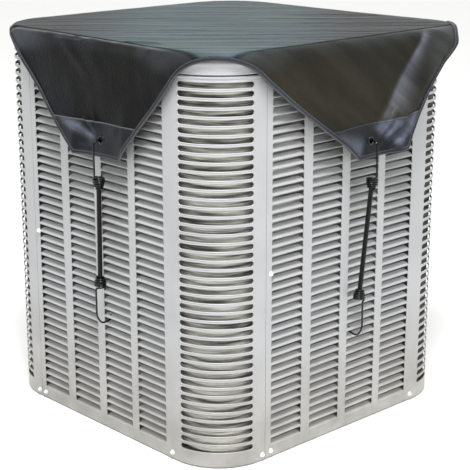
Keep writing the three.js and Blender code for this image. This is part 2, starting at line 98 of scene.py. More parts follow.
# Cloth, as it was cut
SHEET_SIDE = 940.0
SHEET_SHIFT = (12.0, 1.7)
SHEET_TURN = 0.024
TIP_REACH = CABINET_HALF + 245.0
CLOTH_ABOVE_CAP = 3.0
CLOTH_STEPS = 312
HEM_WIDTH = 9.0
PATCH_HEIGHT = 61.0
EYELET_UP = 35.0

# How far the south flap slips along its face for each millimetre down
SOUTH_LEAN = 0.23
# How the cloth leaves the cabinet's edge, round the cabinet:
# stand-off from the face, radius of the fold, slope outwards, slip along the face, curl of a tip's sides
STATIONS = np.array([
    (18, 23, 0.02, SOUTH_LEAN, 12),  # south
    (57, 35, 0, -0.2, 0),  # east corner
    (9, 10, 0.025, 0, 10),  # east
    (5, 8, 0, 0, 0),  # far corner
    (9, 10, 0.025, 0, 10),  # north
    (4, 13, 0, -0.08, 0),  # west corner
    (9, 8, 0.025, 0.09, 10),  # west
    (4, 10, 0, -0.06, 0),  # near corner
])
CUP_FROM, CUP_FULL = 90.0, 230.0
CUP_FLAT, CUP_CURL, CUP_LIMIT = 20.0, 50.0, 1.3

# The soft ridge down the south flap: where it runs, how wide and how high it is, and where it ends
RIDGE_ALONG = (262.0, 118.0)
RIDGE_WIDTH = (20.0, 42.0)
RIDGE_HEIGHT, RIDGE_DOWN = 11.0, 175.0
RIDGE_RISES_IN, RIDGE_FADES_FROM, RIDGE_FADES_IN = 30.0, 130.0, 70.0

# The four faces, counterclockwise: outward direction, direction along the face, the eyelet's shift along it,
# the lip that the lower hook holds, and how far the cord drifts along the face
Face = namedtuple("Face", "name normal along eyelet_shift hooked_lip drift")
FACES = {
    face.name: face for face in (
        Face("south", np.array((0, -1)), np.array((1, 0)), -29, 10, -18),
        Face("east", np.array((1, 0)), np.array((0, 1)), 0, 11, 24),
        Face("north", np.array((0, 1)), np.array((-1, 0)), 0, 11, 28),
        Face("west", np.array((-1, 0)), np.array((0, -1)), 10, 12, -10),
    )
}

# Eyelets and bungees
EYELET_INNER = 5.5
# How far round an eyelet's middle the cloth and the patch are cut away
CLOTH_CUT, PATCH_CUT = EYELET_INNER + 2.2, EYELET_INNER + 2.4
# Wire: its radius, and how far apart its points lie
WIRE_RADIUS, WIRE_STEP = 1.9, 1.6
# Cord: its radius, and its points along it and round it
CORD_RADIUS, CORD_STEPS, CORD_SIDES = 4.8, 24, 24
# Points in the upper hook's bend
BEND_STEPS = 9
COIL_WIDE, COIL_NARROW, COIL_LENGTH, COIL_TURNS = 10.6, 7.2, 25.0, 5
UPPER_BEND_OUT, UPPER_BEND_UP, UPPER_BEND_FROM_CLOTH, UPPER_SEAT = 12.5, 9.5, 7.0, 4.0
UPPER_HOOK_LENGTH, LOWER_HOOK_LENGTH, LOWER_SHANK_OUT = 72.0, 70.0, 31.0
# Points in each turn of a coil, and the share of its length from which it narrows
COIL_STEPS, COIL_NARROWS_FROM = 22, 0.35
# How far a hook's shank stops before its coil, and a place in the lower shank as a share of the hook
SHANK_BEFORE_COIL, LOWER_SHANK_AT = 3.0, 0.6
# The upper hook's tip: how far it lies past its bend, and how far below the bend's middle
UPPER_TIP_IN, UPPER_TIP_DOWN = 0.3, 7.0
# How much of the cord is inside a coil
CORD_IN_COIL = 0.75 * COIL_LENGTH
# The foot of the lower hook, up behind the lip, under it and out: (out from the panel, up from the lip)
LOWER_BEND = (
    (-4.6, 7.0), (-4.6, 2.8), (-3.9, -1.9), (0.0, -3.8), (9.3, -5.5), (19.2, -3.8), (27.3, 5.7), (31.0, 17.1),
)


# Camera, light and floor

def set_camera():
    data = bpy.data.cameras.new("camera")
    data.lens = CAMERA_LENS
    data.sensor_width = CAMERA_SENSOR
    camera = bpy.data.objects.new("camera", data)
    bpy.context.collection.objects.link(camera)
    camera.location = CAMERA_PLACE
    camera.rotation_euler = [math.radians(angle) for angle in CAMERA_TURN]
    bpy.context.scene.camera = camera


def area_light(name, place, aim, size, power):
    data = bpy.data.lights.new(name, "AREA")
    data.size = size
    data.energy = power
    light = bpy.data.objects.new(name, data)
    bpy.context.collection.objects.link(light)
    light.location = place
    light.rotation_euler = (Vector(aim) - Vector(place)).to_track_quat("-Z", "Y").to_euler()


# Lights: name, place, what it points at, size, power
LIGHTS = (
    ("overhead", (-0.95, -1.05, 3.0), (0, 0, 0.3), 0.8, 108),
    ("side", (2.2, -4.4, 1.5), (0, 0, 0.4), 1.2, 26),
    ("glint_left", (-3.0, -0.6, 0.25), (0, 0, 0.5), 0.3, 2),
    ("glint_right", (0.6, -3.2, 0.25), (0, 0, 0.5), 0.3, 4),
)


def set_light():
    bpy.context.scene.view_settings.view_transform = "Standard"
    world = bpy.data.worlds.new("studio")
    bpy.context.scene.world = world
    world.use_nodes = True
    background = world.node_tree.nodes["Background"]
    background.inputs["Color"].default_value = (1, 1, 1, 1)
    background.inputs["Strength"].default_value = 1.0
    for light in LIGHTS:
        area_light(*light)


def set_floor():
    bpy.ops.mesh.primitive_plane_add(size=40)
    floor = bpy.context.object
    floor.name = "floor"
    material, shader, tree = new_material("floor_white")
    fill(tree, shader, {"Base Color": (0.92, 0.92, 0.91, 1), "Roughness": 0.9})
    floor.data.materials.append(material)


# Materials

# Light grey-blue of the lighter lines on folds, hem and seam edges: partly rubbed coating, partly painted
# highlight
WEAR_AND_HIGHLIGHT_COLOUR = (0.085, 0.09, 0.098, 1)
# Scales of the weave and of the cord's braid, and the braid's slant
WEAVE_SCALE, BRAID_SCALE, BRAID_TURN = 260.0, 130.0, 0.7
# Where a noise is all its low colour and all its high colour
LOW_AT, HIGH_AT = 0.35, 0.65
# How high the dust on the paint reaches, in metres
DUST_UP_TO = 0.26


def new_material(name):
    material = bpy.data.materials.new(name)
    material.use_nodes = True
    tree = material.node_tree
    return material, tree.nodes["Principled BSDF"], tree


def fill(tree, made, inputs):
    """Sets a node's inputs, each to a value or from another node's output."""
    for key, value in inputs.items():
        if isinstance(value, bpy.types.NodeSocket):
            tree.links.new(value, made.inputs[key])
        else:
            made.inputs[key].default_value = value


def node(tree, kind, inputs=None, **settings):
    made = tree.nodes.new(kind)
    for key, value in settings.items():
        setattr(made, key, value)
    fill(tree, made, inputs or {})
    return made


def object_place(tree):
    return node(tree, "ShaderNodeTexCoord").outputs["Object"]


def flat_place(tree):
    return node(tree, "ShaderNodeUVMap", uv_map="flat").outputs["UV"]


def attribute(tree, name, output="Fac"):
    return node(tree, "ShaderNodeAttribute", attribute_name=name).outputs[output]


def combine(tree, operation, first, second):
    return node(tree, "ShaderNodeMath", {0: first, 1: second}, operation=operation).outputs[0]


def mix(tree, factor, first, second, blend="MIX"):
    """Mixes two colours. 6 and 7 are the node's colour inputs, and 2 its colour output."""
    inputs = {"Factor": factor, 6: first, 7: second}
    return node(tree, "ShaderNodeMix", inputs, data_type="RGBA", blend_type=blend).outputs[2]


def noise_field(tree, vector, scale, detail, stretch=(1, 1, 1)):
    """A noise. Its scale is in cells per metre."""
    mapping = node(tree, "ShaderNodeMapping", {"Vector": vector, "Scale": stretch}).outputs[0]
    made = node(tree, "ShaderNodeTexNoise", {"Vector": mapping, "Scale": scale, "Detail": detail})
    return made.outputs["Fac"]


def noise_between(tree, vector, scale, low, high, detail, stretch=(1, 1, 1)):
    """A noise between two colours, and the noise itself."""
    field = noise_field(tree, vector, scale, detail, stretch)
    ramp = node(tree, "ShaderNodeValToRGB", {"Fac": field})
    for element, position, colour in zip(ramp.color_ramp.elements, (LOW_AT, HIGH_AT), (low, high)):
        element.position = position
        element.color = (*colour, 1)
    return ramp.outputs["Color"], field


def bump(tree, shader, layers):
    """Chains bumps of (height socket, depth in metres)."""
    normal = None
    for height, depth in layers:
        made = node(tree, "ShaderNodeBump", {"Height": height, "Strength": 1.0, "Distance": depth})
        if normal:
            tree.links.new(normal, made.inputs["Normal"])
        normal = made.outputs["Normal"]
    tree.links.new(normal, shader.inputs["Normal"])


def cloth_material(name, dark, light, warm, roughness):
    """Coated woven cloth: a fine weave under a soft, slightly mottled coating, in the cloth's own grain."""
    material, shader, tree = new_material(name)
    flat, place = flat_place(tree), object_place(tree)
    mottle, _ = noise_between(tree, flat, 14.0, dark, light, 6.0, (1.8, 0.3, 1))
    drift, _ = noise_between(tree, place, 3.2, (1, 1, 1), warm, 2.0)
    colour = mix(tree, 1.0, mottle, drift, "MULTIPLY")
    # Painted light: the point tint carries painted reflection, highlight and sheen
    with_painted_light = mix(tree, 1.0, colour, attribute(tree, "tone_and_painted_light", "Color"), "MULTIPLY")
    fill(tree, shader, {
        # Lighter lines mixed in: partly rubbed coating, partly painted highlight on folds, hem and seam edges
        "Base Color": mix(tree, attribute(tree, "wear_and_highlight"), with_painted_light, WEAR_AND_HIGHLIGHT_COLOUR),
        "Roughness": roughness,
        "Specular IOR Level": 0.11,
        "Sheen Weight": 0.02,
        "Sheen Roughness": 0.3,
        "Sheen Tint": (0.4, 0.85, 1.0, 1),
    })
    threads = []
    for direction in "XY":
        inputs = {"Vector": flat, "Scale": WEAVE_SCALE}
        threads.append(node(tree, "ShaderNodeTexWave", inputs, bands_direction=direction).outputs["Fac"])
    top = attribute(tree, "top")
    broad = noise_field(tree, flat, 8.0, 3.0, (2.4, 0.2, 1))
    streaks = noise_field(tree, flat, 30.0, 5.0, (2.6, 0.22, 1))
    bump(tree, shader, (
        (combine(tree, "MULTIPLY", broad, top), 0.016),
        (combine(tree, "MULTIPLY", streaks, top), 0.004),
        (noise_field(tree, place, 240.0, 2.0), 0.0009),
        (noise_field(tree, place, 38.0, 4.0), 0.0006),
        (combine(tree, "MAXIMUM", *threads), 0.00008),
    ))
    return material


def paint_material():
    """Satin powder coat with a fine orange peel, dustier towards the ground."""
    material, shader, tree = new_material("cabinet_paint")
    place = object_place(tree)
    clean, _ = noise_between(tree, place, 9.0, (0.33, 0.334, 0.34), (0.36, 0.364, 0.37), 4.0)
    dusty, _ = noise_between(tree, place, 16.0, (0.25, 0.243, 0.224), (0.335, 0.327, 0.307), 5.0)
    height = node(tree, "ShaderNodeSeparateXYZ", {"Vector": place}).outputs["Z"]
    low_down = node(tree, "ShaderNodeMapRange", {
        "Value": height, "From Min": 0.0, "From Max": DUST_UP_TO, "To Min": 1.0, "To Max": 0.0,
    }).outputs["Result"]
    fill(tree, shader, {
        "Base Color": mix(tree, low_down, clean, dusty),
        "Roughness": 0.42,
        "Specular IOR Level": 0.4,
    })
    bump(tree, shader, ((noise_field(tree, place, 900.0, 2.0), 0.00006),))
    return material


def fin_material():
    """Dusty aluminium fins with painted shade: near-black where they aren't seen through the slots, darker
    away from the near corner.
    """
    material, shader, tree = new_material("coil_fins")
    low, high = (0.06, 0.058, 0.05), (0.55, 0.54, 0.49)
    dust, _ = noise_between(tree, object_place(tree), 30.0, low, high, 5.0, (0.3, 0.3, 4.5))
    fill(tree, shader, {
        # Painted shade: the fins turn near-black where the corner mask falls to 0
        "Base Color": mix(tree, attribute(tree, "corner"), (0.003, 0.003, 0.003, 1), dust),
        "Roughness": 0.6,
        "Specular IOR Level": 0.1,
    })
    return material


def metal_material(name, colour, metallic, roughness, specular=0.5):
    material, shader, tree = new_material(name)
    low = [0.8 * channel for channel in colour]
    tint, field = noise_between(tree, object_place(tree), 180.0, low, colour, 4.0)
    fill(tree, shader, {
        "Base Color": tint,
        "Metallic": metallic,
        "Roughness": roughness,
        "Specular IOR Level": specular,
    })
    bump(tree, shader, ((field, 0.00003),))
    return material


def cord_material():
    """Braided sheath: two sets of strands crossing round the cord, in the cord's own UV."""
    material, shader, tree = new_material("bungee_cord")
    flat = flat_place(tree)
    strands = []
    for turn in (BRAID_TURN, -BRAID_TURN):
        mapping = node(tree, "ShaderNodeMapping", {"Vector": flat, "Rotation": (0, 0, turn)}).outputs[0]
        wave = node(tree, "ShaderNodeTexWave", {"Vector": mapping, "Scale": BRAID_SCALE})
        strands.append(wave.outputs["Fac"])
    braid = combine(tree, "MAXIMUM", *strands)
    ramp = node(tree, "ShaderNodeValToRGB", {"Fac": braid})
    ramp.color_ramp.elements[0].color = (0.001, 0.001, 0.0012, 1)
    ramp.color_ramp.elements[1].color = (0.006, 0.006, 0.007, 1)
    fill(tree, shader, {"Base Color": ramp.outputs["Color"], "Roughness": 0.28, "Specular IOR Level": 0.14})
    bump(tree, shader, ((braid, 0.0003),))
    return material


# Meshes

def mesh_object(name, points, faces, material, smooth=True, flat=None):
    """An object from points in millimetres. flat gives a UV map of the same length, in metres."""
    mesh = bpy.data.meshes.new(name)
    mesh.from_pydata([tuple(float(v) * MM for v in point) for point in points], [], faces)
    if flat is not None:
        layer = mesh.uv_layers.new(name="flat")
        corners = np.zeros(len(mesh.loops), dtype=int)
        mesh.loops.foreach_get("vertex_index", corners)
        layer.data.foreach_set("uv", np.asarray(flat, dtype=float)[corners].ravel())
    mesh.polygons.foreach_set("use_smooth", [smooth] * len(mesh.polygons))
    mesh.materials.append(material)
    piece = bpy.data.objects.new(name, mesh)
    bpy.context.collection.objects.link(piece)
    return piece


def grid_faces(rows, columns, start=0, close_rows=False, close_columns=False):
    """Quads of a grid of points that is laid out row by row."""
    faces = []
    for row in range(rows if close_rows else rows - 1):
        for column in range(columns if close_columns else columns - 1):
            next_row = (row + 1) % rows
            next_column = (column + 1) % columns
            faces.append((
                start + row * columns + column,
                start + row * columns + next_column,
                start + next_row * columns + next_column,
                start + next_row * columns + column,
            ))
    return faces


def sweep(points, radius, sides=10):
    """Points, faces and UV of a round tube along a line of points, all in millimetres."""
    path = np.asarray(points, dtype=float)
    ahead = np.gradient(path, axis=0)
    ahead /= np.linalg.norm(ahead, axis=1)[:, None]
    no_path_starts_along = (0.3, 0.5, 0.8)
    across = np.cross(ahead[0], no_path_starts_along)
    length = np.concatenate([[0], np.cumsum(np.linalg.norm(np.diff(path, axis=0), axis=1))])
    rings = []
    flat = []
    angles = 2 * math.pi * np.arange(sides + 1) / sides
    for index, middle in enumerate(path):
        across = across - ahead[index] * np.dot(across, ahead[index])
        across /= np.linalg.norm(across)
        up = np.cross(ahead[index], across)
        for angle in angles:
            rings.append(middle + radius * (math.cos(angle) * across + math.sin(angle) * up))
            flat.append((radius * angle * MM, length[index] * MM))
    faces = grid_faces(len(path), sides + 1)
    last = len(rings)
    rings.extend([path[0], path[-1]])
    flat.extend([flat[0], flat[-1]])
    end = (len(path) - 1) * (sides + 1)
    for side in range(sides):
        faces.append((last, side + 1, side))
        faces.append((last + 1, end + side, end + side + 1))
    return rings, faces, flat


def smooth_line(points, step):
    """Points about one step apart on a smooth line through the given ones."""
    points = [Vector(point) for point in points]
    padded = [2 * points[0] - points[1], *points, 2 * points[-1] - points[-2]]
    line = []
    for index in range(1, len(padded) - 2):
        a, b, c, d = padded[index - 1:index + 3]
        count = max(1, round((c - b).length / step))
        for part in range(count):
            t = part / count
            line.append(0.5 * (2 * b + (c - a) * t + (2 * a - 5 * b + 4 * c - d) * t ** 2
                               + (3 * b - a - 3 * c + d) * t ** 3))
    line.append(points[-1])
    return line


# The draped cloth, as in the part

def smooth_step(value):
    t = np.clip(value, 0, 1)
    return t * t * (3 - 2 * t)


def lay_flat(flat):
    """Plan points of points of the flat pattern, whose axes are the sheet's diagonals."""
    flat = np.asarray(flat, dtype=float)
    u, v = flat[..., 0], flat[..., 1]
    cosine, sine = math.cos(SHEET_TURN), math.sin(SHEET_TURN)
    return np.stack([
        cosine * u - sine * v + SHEET_SHIFT[0],
        sine * u + cosine * v + SHEET_SHIFT[1],
    ], axis=-1)


def eyelet_flat(face):
    return face.normal * (TIP_REACH - EYELET_UP) + face.along * face.eyelet_shift


def drape(plan):
    """Where plan points of the laid-out cloth come to hang."""
    x, y = plan[..., 0], plan[..., 1]
    core_x = np.clip(x, -CORE_HALF, CORE_HALF)
    core_y = np.clip(y, -CORE_HALF, CORE_HALF)
    reach = np.maximum(np.hypot(x - core_x, y - core_y), 1e-9)
    out_x, out_y = (x - core_x) / reach, (y - core_y) / reach
    turns = np.mod(np.arctan2(out_y, out_x) / (math.pi / 2) + 1, 4)
    side = np.round(turns).astype(int) % 4
    alongs = np.array([face.along for face in FACES.values()])
    along = core_x * alongs[side, 0] + core_y * alongs[side, 1]
    station = np.where(
        np.abs(turns - np.round(turns)) < 1e-7,
        2 * side + 0.5 * along / CORE_HALF,
        2 * np.floor(turns) + 0.5 + (turns - np.floor(turns)),
    ) % 8
    first = np.floor(station).astype(int) % 8
    share = smooth_step(station - np.floor(station))[..., None]
    blended = STATIONS[first] * (1 - share) + STATIONS[(first + 1) % 8] * share
    stand_off, roll, tilt, lean, cup = np.moveaxis(blended, -1, 0)
    fold = CORNER_RADIUS + stand_off - roll
    past = reach - fold
    angle = np.clip(past / roll, 0, math.pi / 2 - tilt)
    fallen = np.maximum(past - roll * (math.pi / 2 - tilt), 0)
    out = fold + roll * np.sin(angle) + fallen * np.sin(tilt)
    down = roll * (1 - np.cos(angle)) + fallen * np.cos(tilt)
    eyelets = lay_flat(np.array([eyelet_flat(face) for face in FACES.values()]))
    eyelet_along = np.sum(eyelets * alongs, axis=1)
    sideways = np.maximum(np.abs(along - eyelet_along[side]) - CUP_FLAT, 0) / CUP_CURL
    curled = smooth_step((down - CUP_FROM) / (CUP_FULL - CUP_FROM))
    out = out + cup * np.minimum(sideways ** 2, CUP_LIMIT) * curled
    out = out + np.where(side == 0, south_ridge(along + lean * down, down), 0)
    slip = lean * down
    hung = np.stack([
        core_x + out_x * out - out_y * slip,
        core_y + out_y * out + out_x * slip,
        CABINET_HEIGHT + CLOTH_ABOVE_CAP - down,
    ], axis=-1)
    flat_top = np.stack([x, y, np.full_like(x, CABINET_HEIGHT + CLOTH_ABOVE_CAP)], axis=-1)
    return np.where((past <= 0)[..., None], flat_top, hung)


def ridge_share(along, down):
    """How far aside of the ridge's line a place is, in its widths, and how strong the ridge is there."""
    fall = np.clip(down / RIDGE_DOWN, 0, 1)
    middle = RIDGE_ALONG[0] + (RIDGE_ALONG[1] - RIDGE_ALONG[0]) * fall
    width = RIDGE_WIDTH[0] + (RIDGE_WIDTH[1] - RIDGE_WIDTH[0]) * fall
    rise = smooth_step(down / RIDGE_RISES_IN)
    fade = 1 - smooth_step((down - RIDGE_FADES_FROM) / RIDGE_FADES_IN)
    return (along - middle) / width, rise * fade


def south_ridge(along, down):
    aside, strength = ridge_share(along, down)
    return RIDGE_HEIGHT * strength * np.exp(-(aside ** 2))


# Creases and wrinkles near a tip: face, start and end of each as (along from the eyelet, up from it), height,
# half width
WRINKLES = (
    ("south", (10, 8), (64, 52), 7.0, 5),
    ("south", (14, 0), (92, 58), 8.0, 6),
    ("south", (20, -10), (112, 40), 8.0, 6),
    ("south", (58, -20), (122, 12), 6.0, 5),
    ("south", (8, 18), (84, 92), 5.0, 8),
    ("south", (34, -24), (84, -12), 4.0, 5),
    ("south", (-16, 6), (-60, 34), 3.0, 12),
    ("west", (-12, 4), (-110, 32), 8.0, 8),
    ("west", (-6, 12), (-46, 40), 6.0, 5),
    ("west", (2, 14), (-20, 52), 3.5, 5),
    ("west", (-14, -6), (-62, -12), 3.0, 6),
    ("west", (14, 6), (64, 26), 2.5, 9),
    ("west", (70, 200), (150, 240), 3.0, 6),
    ("west", (-30, 120), (-110, 190), 1.6, 12),
    ("east", (12, 6), (70, 24), 5.0, 7),
    ("east", (10, -4), (84, 4), 4.0, 6),
    ("east", (-14, 8), (-60, 30), 4.0, 8),
    ("north", (10, 8), (64, 32), 5.5, 7),
    ("north", (-12, 4), (-72, 14), 4.5, 7),
    ("north", (-8, 12), (-50, 40), 4.0, 6),
)

# By how much of its length a line's crease or streak runs past its ends
OVERRUN = 0.15
# The cloth's slackness: noise cells per millimetre, level in the noise, height, what hanging adds to it
SLACK_WAVES = ((0.011, 3.1, 0.35, 2.0), (0.028, 8.4, 0.25, 0.6))
SLACK_FROM, SLACK_IN = 340.0, 60.0


def noise_at(flat, scale, level):
    values = [noise.noise(Vector((u * scale, v * scale, level))) for u, v in flat.reshape(-1, 2)]
    return np.reshape(values, flat.shape[:-1])


def relief(flat):
    """How far the wrinkles and the cloth's own slackness lift it from its smooth drape."""
    flat = np.asarray(flat, dtype=float)
    lift = np.zeros(flat.shape[:-1])
    for name, start, end, height, half_width in WRINKLES:
        away, share = away_from_line(flat, *eyelet_line(name, start, end))
        lift = lift + height * line_ends(share, 0.4, 0.5) * np.exp(-((away / half_width) ** 2))
    slack = smooth_step((np.max(np.abs(flat), axis=-1) - SLACK_FROM) / SLACK_IN)
    for scale, level, height, more in SLACK_WAVES:
        lift = lift + (height + more * slack) * noise_at(flat, scale, level)
    return lift


# Lighter fold lines, partly rubbed coating, partly painted highlight on the crease: face, distance out from
# the middle, where each starts and ends along the face, half width, strength
FOLD_WEAR_AND_HIGHLIGHT_LINES = (
    ("west", 353, -330, 250, 2.5, 1.3),
    ("west", 361, -150, 40, 2.2, 0.4),
    ("north", 353, -300, 300, 2.6, 0.5),
    ("east", 353, -300, 300, 2.6, 0.4),
)
FOLD_LINE_END = 60.0
# How uneven a lighter fold line is: noise cells per millimetre, middle strength, and how far the noise
# changes it
FOLD_LINE_CELLS, FOLD_LINE_MIDDLE, FOLD_LINE_CHANGE = 0.035, 0.6, 0.8

# Painted light and sheen in spots of the flaps, as shares of the coating's own colour; the broad warm spots
# on the south and east flaps also give an olive fade: face, a spot as (along the face, down from the top),
# its reach, what it adds
PAINTED_LIGHT_SPOTS = (
    ("south", (-60, 110), (330, 150), (5.9, 5.5, 2.8)),
    ("south", (250, 80), (60, 130), (11.5, 14.0, 16.0)),
    ("south", (-225, 5), (60, 34), (5.0, 6.5, 9.0)),
    ("south", (60, 6), (300, 22), (3.0, 4.5, 6.0)),
    ("west", (215, 10), (70, 34), (10.0, 12.0, 16.0)),
    ("west", (-230, 22), (90, 26), (14.0, 17.0, 23.0)),
    ("west", (0, 12), (260, 16), (3.5, 4.2, 5.0)),
    ("west", (-110, 150), (60, 60), (0.8, 1.2, 2.4)),
    ("east", (0, 110), (300, 150), (3.0, 2.8, 1.8)),
)
# Painted highlight down the south flap's ridge, partly a bluish rubbed coating: the colour it adds, and its
# shift along the face
RIDGE_PAINTED_HIGHLIGHT = (36.0, 41.0, 55.0)
RIDGE_HIGHLIGHT_ALONG = 40.0
# Its reach to the left, and to the right at its top and at its foot, in widths of the ridge
RIDGE_HIGHLIGHT_SPREAD = (0.3, 0.4, 1.4)
# Painted sheen on the near corner's roll, partly rubbed coating: what it adds, where it lies, and its reach
NEAR_CORNER_PAINTED_SHEEN = (13.0, 16.0, 20.0)
NEAR_CORNER_SHEEN_AT = (-312.0, -312.0)
NEAR_CORNER_SHEEN_REACH = 66.0
# Painted reflection of the bright surroundings on the top: how much lighter and greener it is painted
TOP_PAINTED_REFLECTION = (10.5, 21.5, 26.0)
TOP_ENDS, TOP_FADES_IN = CABINET_HALF + 2.0, 14.0
# Where the top's painted reflection fades towards its right and its left corner, from the middle, and over
# what width
TOP_DARKER_RIGHT, TOP_DARKER_LEFT, TOP_DARKER_OVER = 120.0, 190.0, 300.0

# Painted sheen: lighter streaks where the coating would shine on pulled cloth: face, start and end as (along
# from the eyelet, up from it), half width, the colour it adds to a patch
PAINTED_SHEENS = (
    ("west", (-112, 34), (-20, 2), 10, (5.4, 5.8, 6.2)),
    ("west", (-60, 22), (-16, 4), 4, (5.0, 5.4, 5.8)),
    ("west", (-34, 36), (-10, 12), 3, (2.5, 2.7, 2.8)),
    ("south", (-92, 18), (-26, -8), 14, (7.6, 7.9, 7.8)),
    ("south", (-60, -6), (-34, -22), 9, (3.4, 3.6, 3.6)),
    ("south", (20, 16), (70, 46), 12, (4.8, 5.1, 5.2)),
    ("south", (40, 2), (96, 44), 12, (4.8, 5.1, 5.2)),
    ("south", (64, -16), (124, 24), 12, (5.0, 5.3, 5.4)),
    ("south", (112, -6), (146, 46), 10, (5.0, 5.4, 5.6)),
    ("east", (20, 6), (80, 30), 9, (3.0, 3.2, 3.3)),
    ("north", (-20, 6), (-80, 30), 9, (3.0, 3.2, 3.3)),
)


def eyelet_line(name, start, end):
    """A line near a tip, in the flat pattern, from places given as (along from the eyelet, up from it)."""
    face = FACES[name]
    return [eyelet_flat(face) + face.along * along - face.normal * up for along, up in (start, end)]


def away_from_line(flat, a, b):
    """How far points lie from a line, and their share of its length."""
    line = b - a
    share = np.clip(((flat - a) @ line) / (line @ line), -OVERRUN, 1 + OVERRUN)
    return np.linalg.norm(flat - a - share[..., None] * line, axis=-1), share


def line_ends(share, fade_in, fade_out):
    """1 along a line, falling to 0 past its ends."""
    return smooth_step((share + OVERRUN) / fade_in) * smooth_step((1 + OVERRUN - share) / fade_out)


def patch_painted_sheen(flat):
    flat = np.asarray(flat, dtype=float)
    tint = np.ones((len(flat), 3))
    # Painted sheen: lighter streaks where the coating would shine on pulled cloth
    for name, start, end, half_width, colour in PAINTED_SHEENS:
        away, share = away_from_line(flat, *eyelet_line(name, start, end))
        streak = line_ends(share, 0.3, 0.3) * np.exp(-((away / half_width) ** 2))
        tint = tint + streak[:, None] * np.array(colour)
    return tint


def on_top(flat):
    """1 where the cloth lies on the cabinet, 0 where it hangs."""
    outwards = np.max(np.abs(lay_flat(flat)), axis=-1)
    return smooth_step((TOP_ENDS - outwards) / TOP_FADES_IN)


def tones_and_painted_light(flat):
    """The cloth's tint, point by point, mostly painted light: its top, spots of its flaps, the ridge and the
    near corner.
    """
    plan = lay_flat(flat)
    top = on_top(flat)[:, None]
    across = plan[:, 0] - plan[:, 1]
    past = np.maximum(across - TOP_DARKER_RIGHT, -across - TOP_DARKER_LEFT)
    corner = smooth_step(past / TOP_DARKER_OVER)[:, None]
    # Painted reflection on the top, fading towards its corners
    tint = 1 + top * (1 - corner) * np.array(TOP_PAINTED_REFLECTION)
    # Painted light and sheen in spots of the flaps
    for name, middle, reach, colour in PAINTED_LIGHT_SPOTS:
        along, down = plan @ FACES[name].along, plan @ FACES[name].normal - CABINET_HALF
        far = ((along - middle[0]) / reach[0]) ** 2 + ((down - middle[1]) / reach[1]) ** 2
        tint = tint + (1 - top) * np.exp(-(far ** 2))[:, None] * np.array(colour)
    # Painted highlight down the south flap's ridge
    south = FACES["south"]
    down = plan @ south.normal - CABINET_HALF
    aside, strength = ridge_share(plan @ south.along + SOUTH_LEAN * down + RIDGE_HIGHLIGHT_ALONG, down)
    left, right_top, right_foot = RIDGE_HIGHLIGHT_SPREAD
    right = right_top + (right_foot - right_top) * np.clip(down / RIDGE_DOWN, 0, 1)
    spread = np.where(aside < 0, left, right)
    tint = tint + (strength * np.exp(-((aside / spread) ** 2)))[:, None] * np.array(RIDGE_PAINTED_HIGHLIGHT)
    # Painted sheen on the near corner's roll, partly rubbed coating
    from_corner = np.linalg.norm(plan - NEAR_CORNER_SHEEN_AT, axis=-1) / NEAR_CORNER_SHEEN_REACH
    return tint + np.exp(-(from_corner ** 4))[:, None] * np.array(NEAR_CORNER_PAINTED_SHEEN)


def fold_wear_and_highlights(flat):
    """How much lighter the coating is along the folds: partly rubbed wear, partly painted highlight on the
    crease.
    """
    plan = lay_flat(flat)
    wear_and_highlight = np.zeros(len(plan))
    for name, out, start, end, half_width, strength in FOLD_WEAR_AND_HIGHLIGHT_LINES:
        away = plan @ FACES[name].normal - out
        place = plan @ FACES[name].along
        ends = smooth_step((place - start) / FOLD_LINE_END) * smooth_step((end - place) / FOLD_LINE_END)
        uneven = np.array([noise.noise(Vector((spot * FOLD_LINE_CELLS, out, 0.0))) for spot in place])
        patchy = FOLD_LINE_MIDDLE + FOLD_LINE_CHANGE * uneven
        wear_and_highlight = np.maximum(wear_and_highlight, strength * patchy * ends * np.exp(-((away / half_width) ** 2)))
    return wear_and_highlight


def cloth_points(flat, height=0):
    """Points at a height above the cloth's middle surface, wrinkles included."""
    flat = np.asarray(flat, dtype=float)
    plan = lay_flat(flat)
    step = 0.6
    along_x = drape(plan + (step, 0)) - drape(plan - (step, 0))
    along_y = drape(plan + (0, step)) - drape(plan - (0, step))
    normal = np.cross(along_x, along_y)
    normal /= np.linalg.norm(normal, axis=-1)[..., None]
    return drape(plan) + normal * (relief(flat) + height)[..., None]


def grain(flat):
    """UV along the sheet's sides, in metres."""
    flat = np.asarray(flat, dtype=float).reshape(-1, 2)
    return np.stack([flat[:, 0] + flat[:, 1], flat[:, 1] - flat[:, 0]], axis=1) * MM / math.sqrt(2)


def make_cloth(material):
    """The whole cloth on a grid along its sides, cut across at the tips."""
    side = np.linspace(-SHEET_SIDE / 2, SHEET_SIDE / 2, CLOTH_STEPS + 1)
    p, q = np.meshgrid(side, side, indexing="ij")
    flat = np.stack([(p - q) / math.sqrt(2), (p + q) / math.sqrt(2)], axis=-1).reshape(-1, 2)
    cut = round(TIP_REACH * math.sqrt(2) / (SHEET_SIDE / CLOTH_STEPS))
    row = CLOTH_STEPS + 1

    def inside(i, j):
        u, v = i - j, i + j - CLOTH_STEPS
        return abs(u) <= cut and abs(v) <= cut

    faces = []
    for i in range(CLOTH_STEPS):
        for j in range(CLOTH_STEPS):
            corners = [(i, j), (i + 1, j), (i + 1, j + 1), (i, j + 1)]
            kept = [a * row + b for a, b in corners if inside(a, b)]
            if len(kept) >= 3:
                faces.append(tuple(kept))
    cloth = mesh_object("cover_cloth", cloth_points(flat), faces, material, flat=grain(flat))
    set_values(cloth, "wear_and_highlight", fold_wear_and_highlights(flat))
    set_values(cloth, "top", on_top(flat))
    set_tint_and_painted_light(cloth, tones_and_painted_light(flat))
    drop_loose(cloth)
    punch(cloth, FACES.values(), CLOTH_CUT)
    return cloth


def edit(piece, change):
    work = bmesh.new()
    work.from_mesh(piece.data)
    change(work)
    work.to_mesh(piece.data)
    work.free()


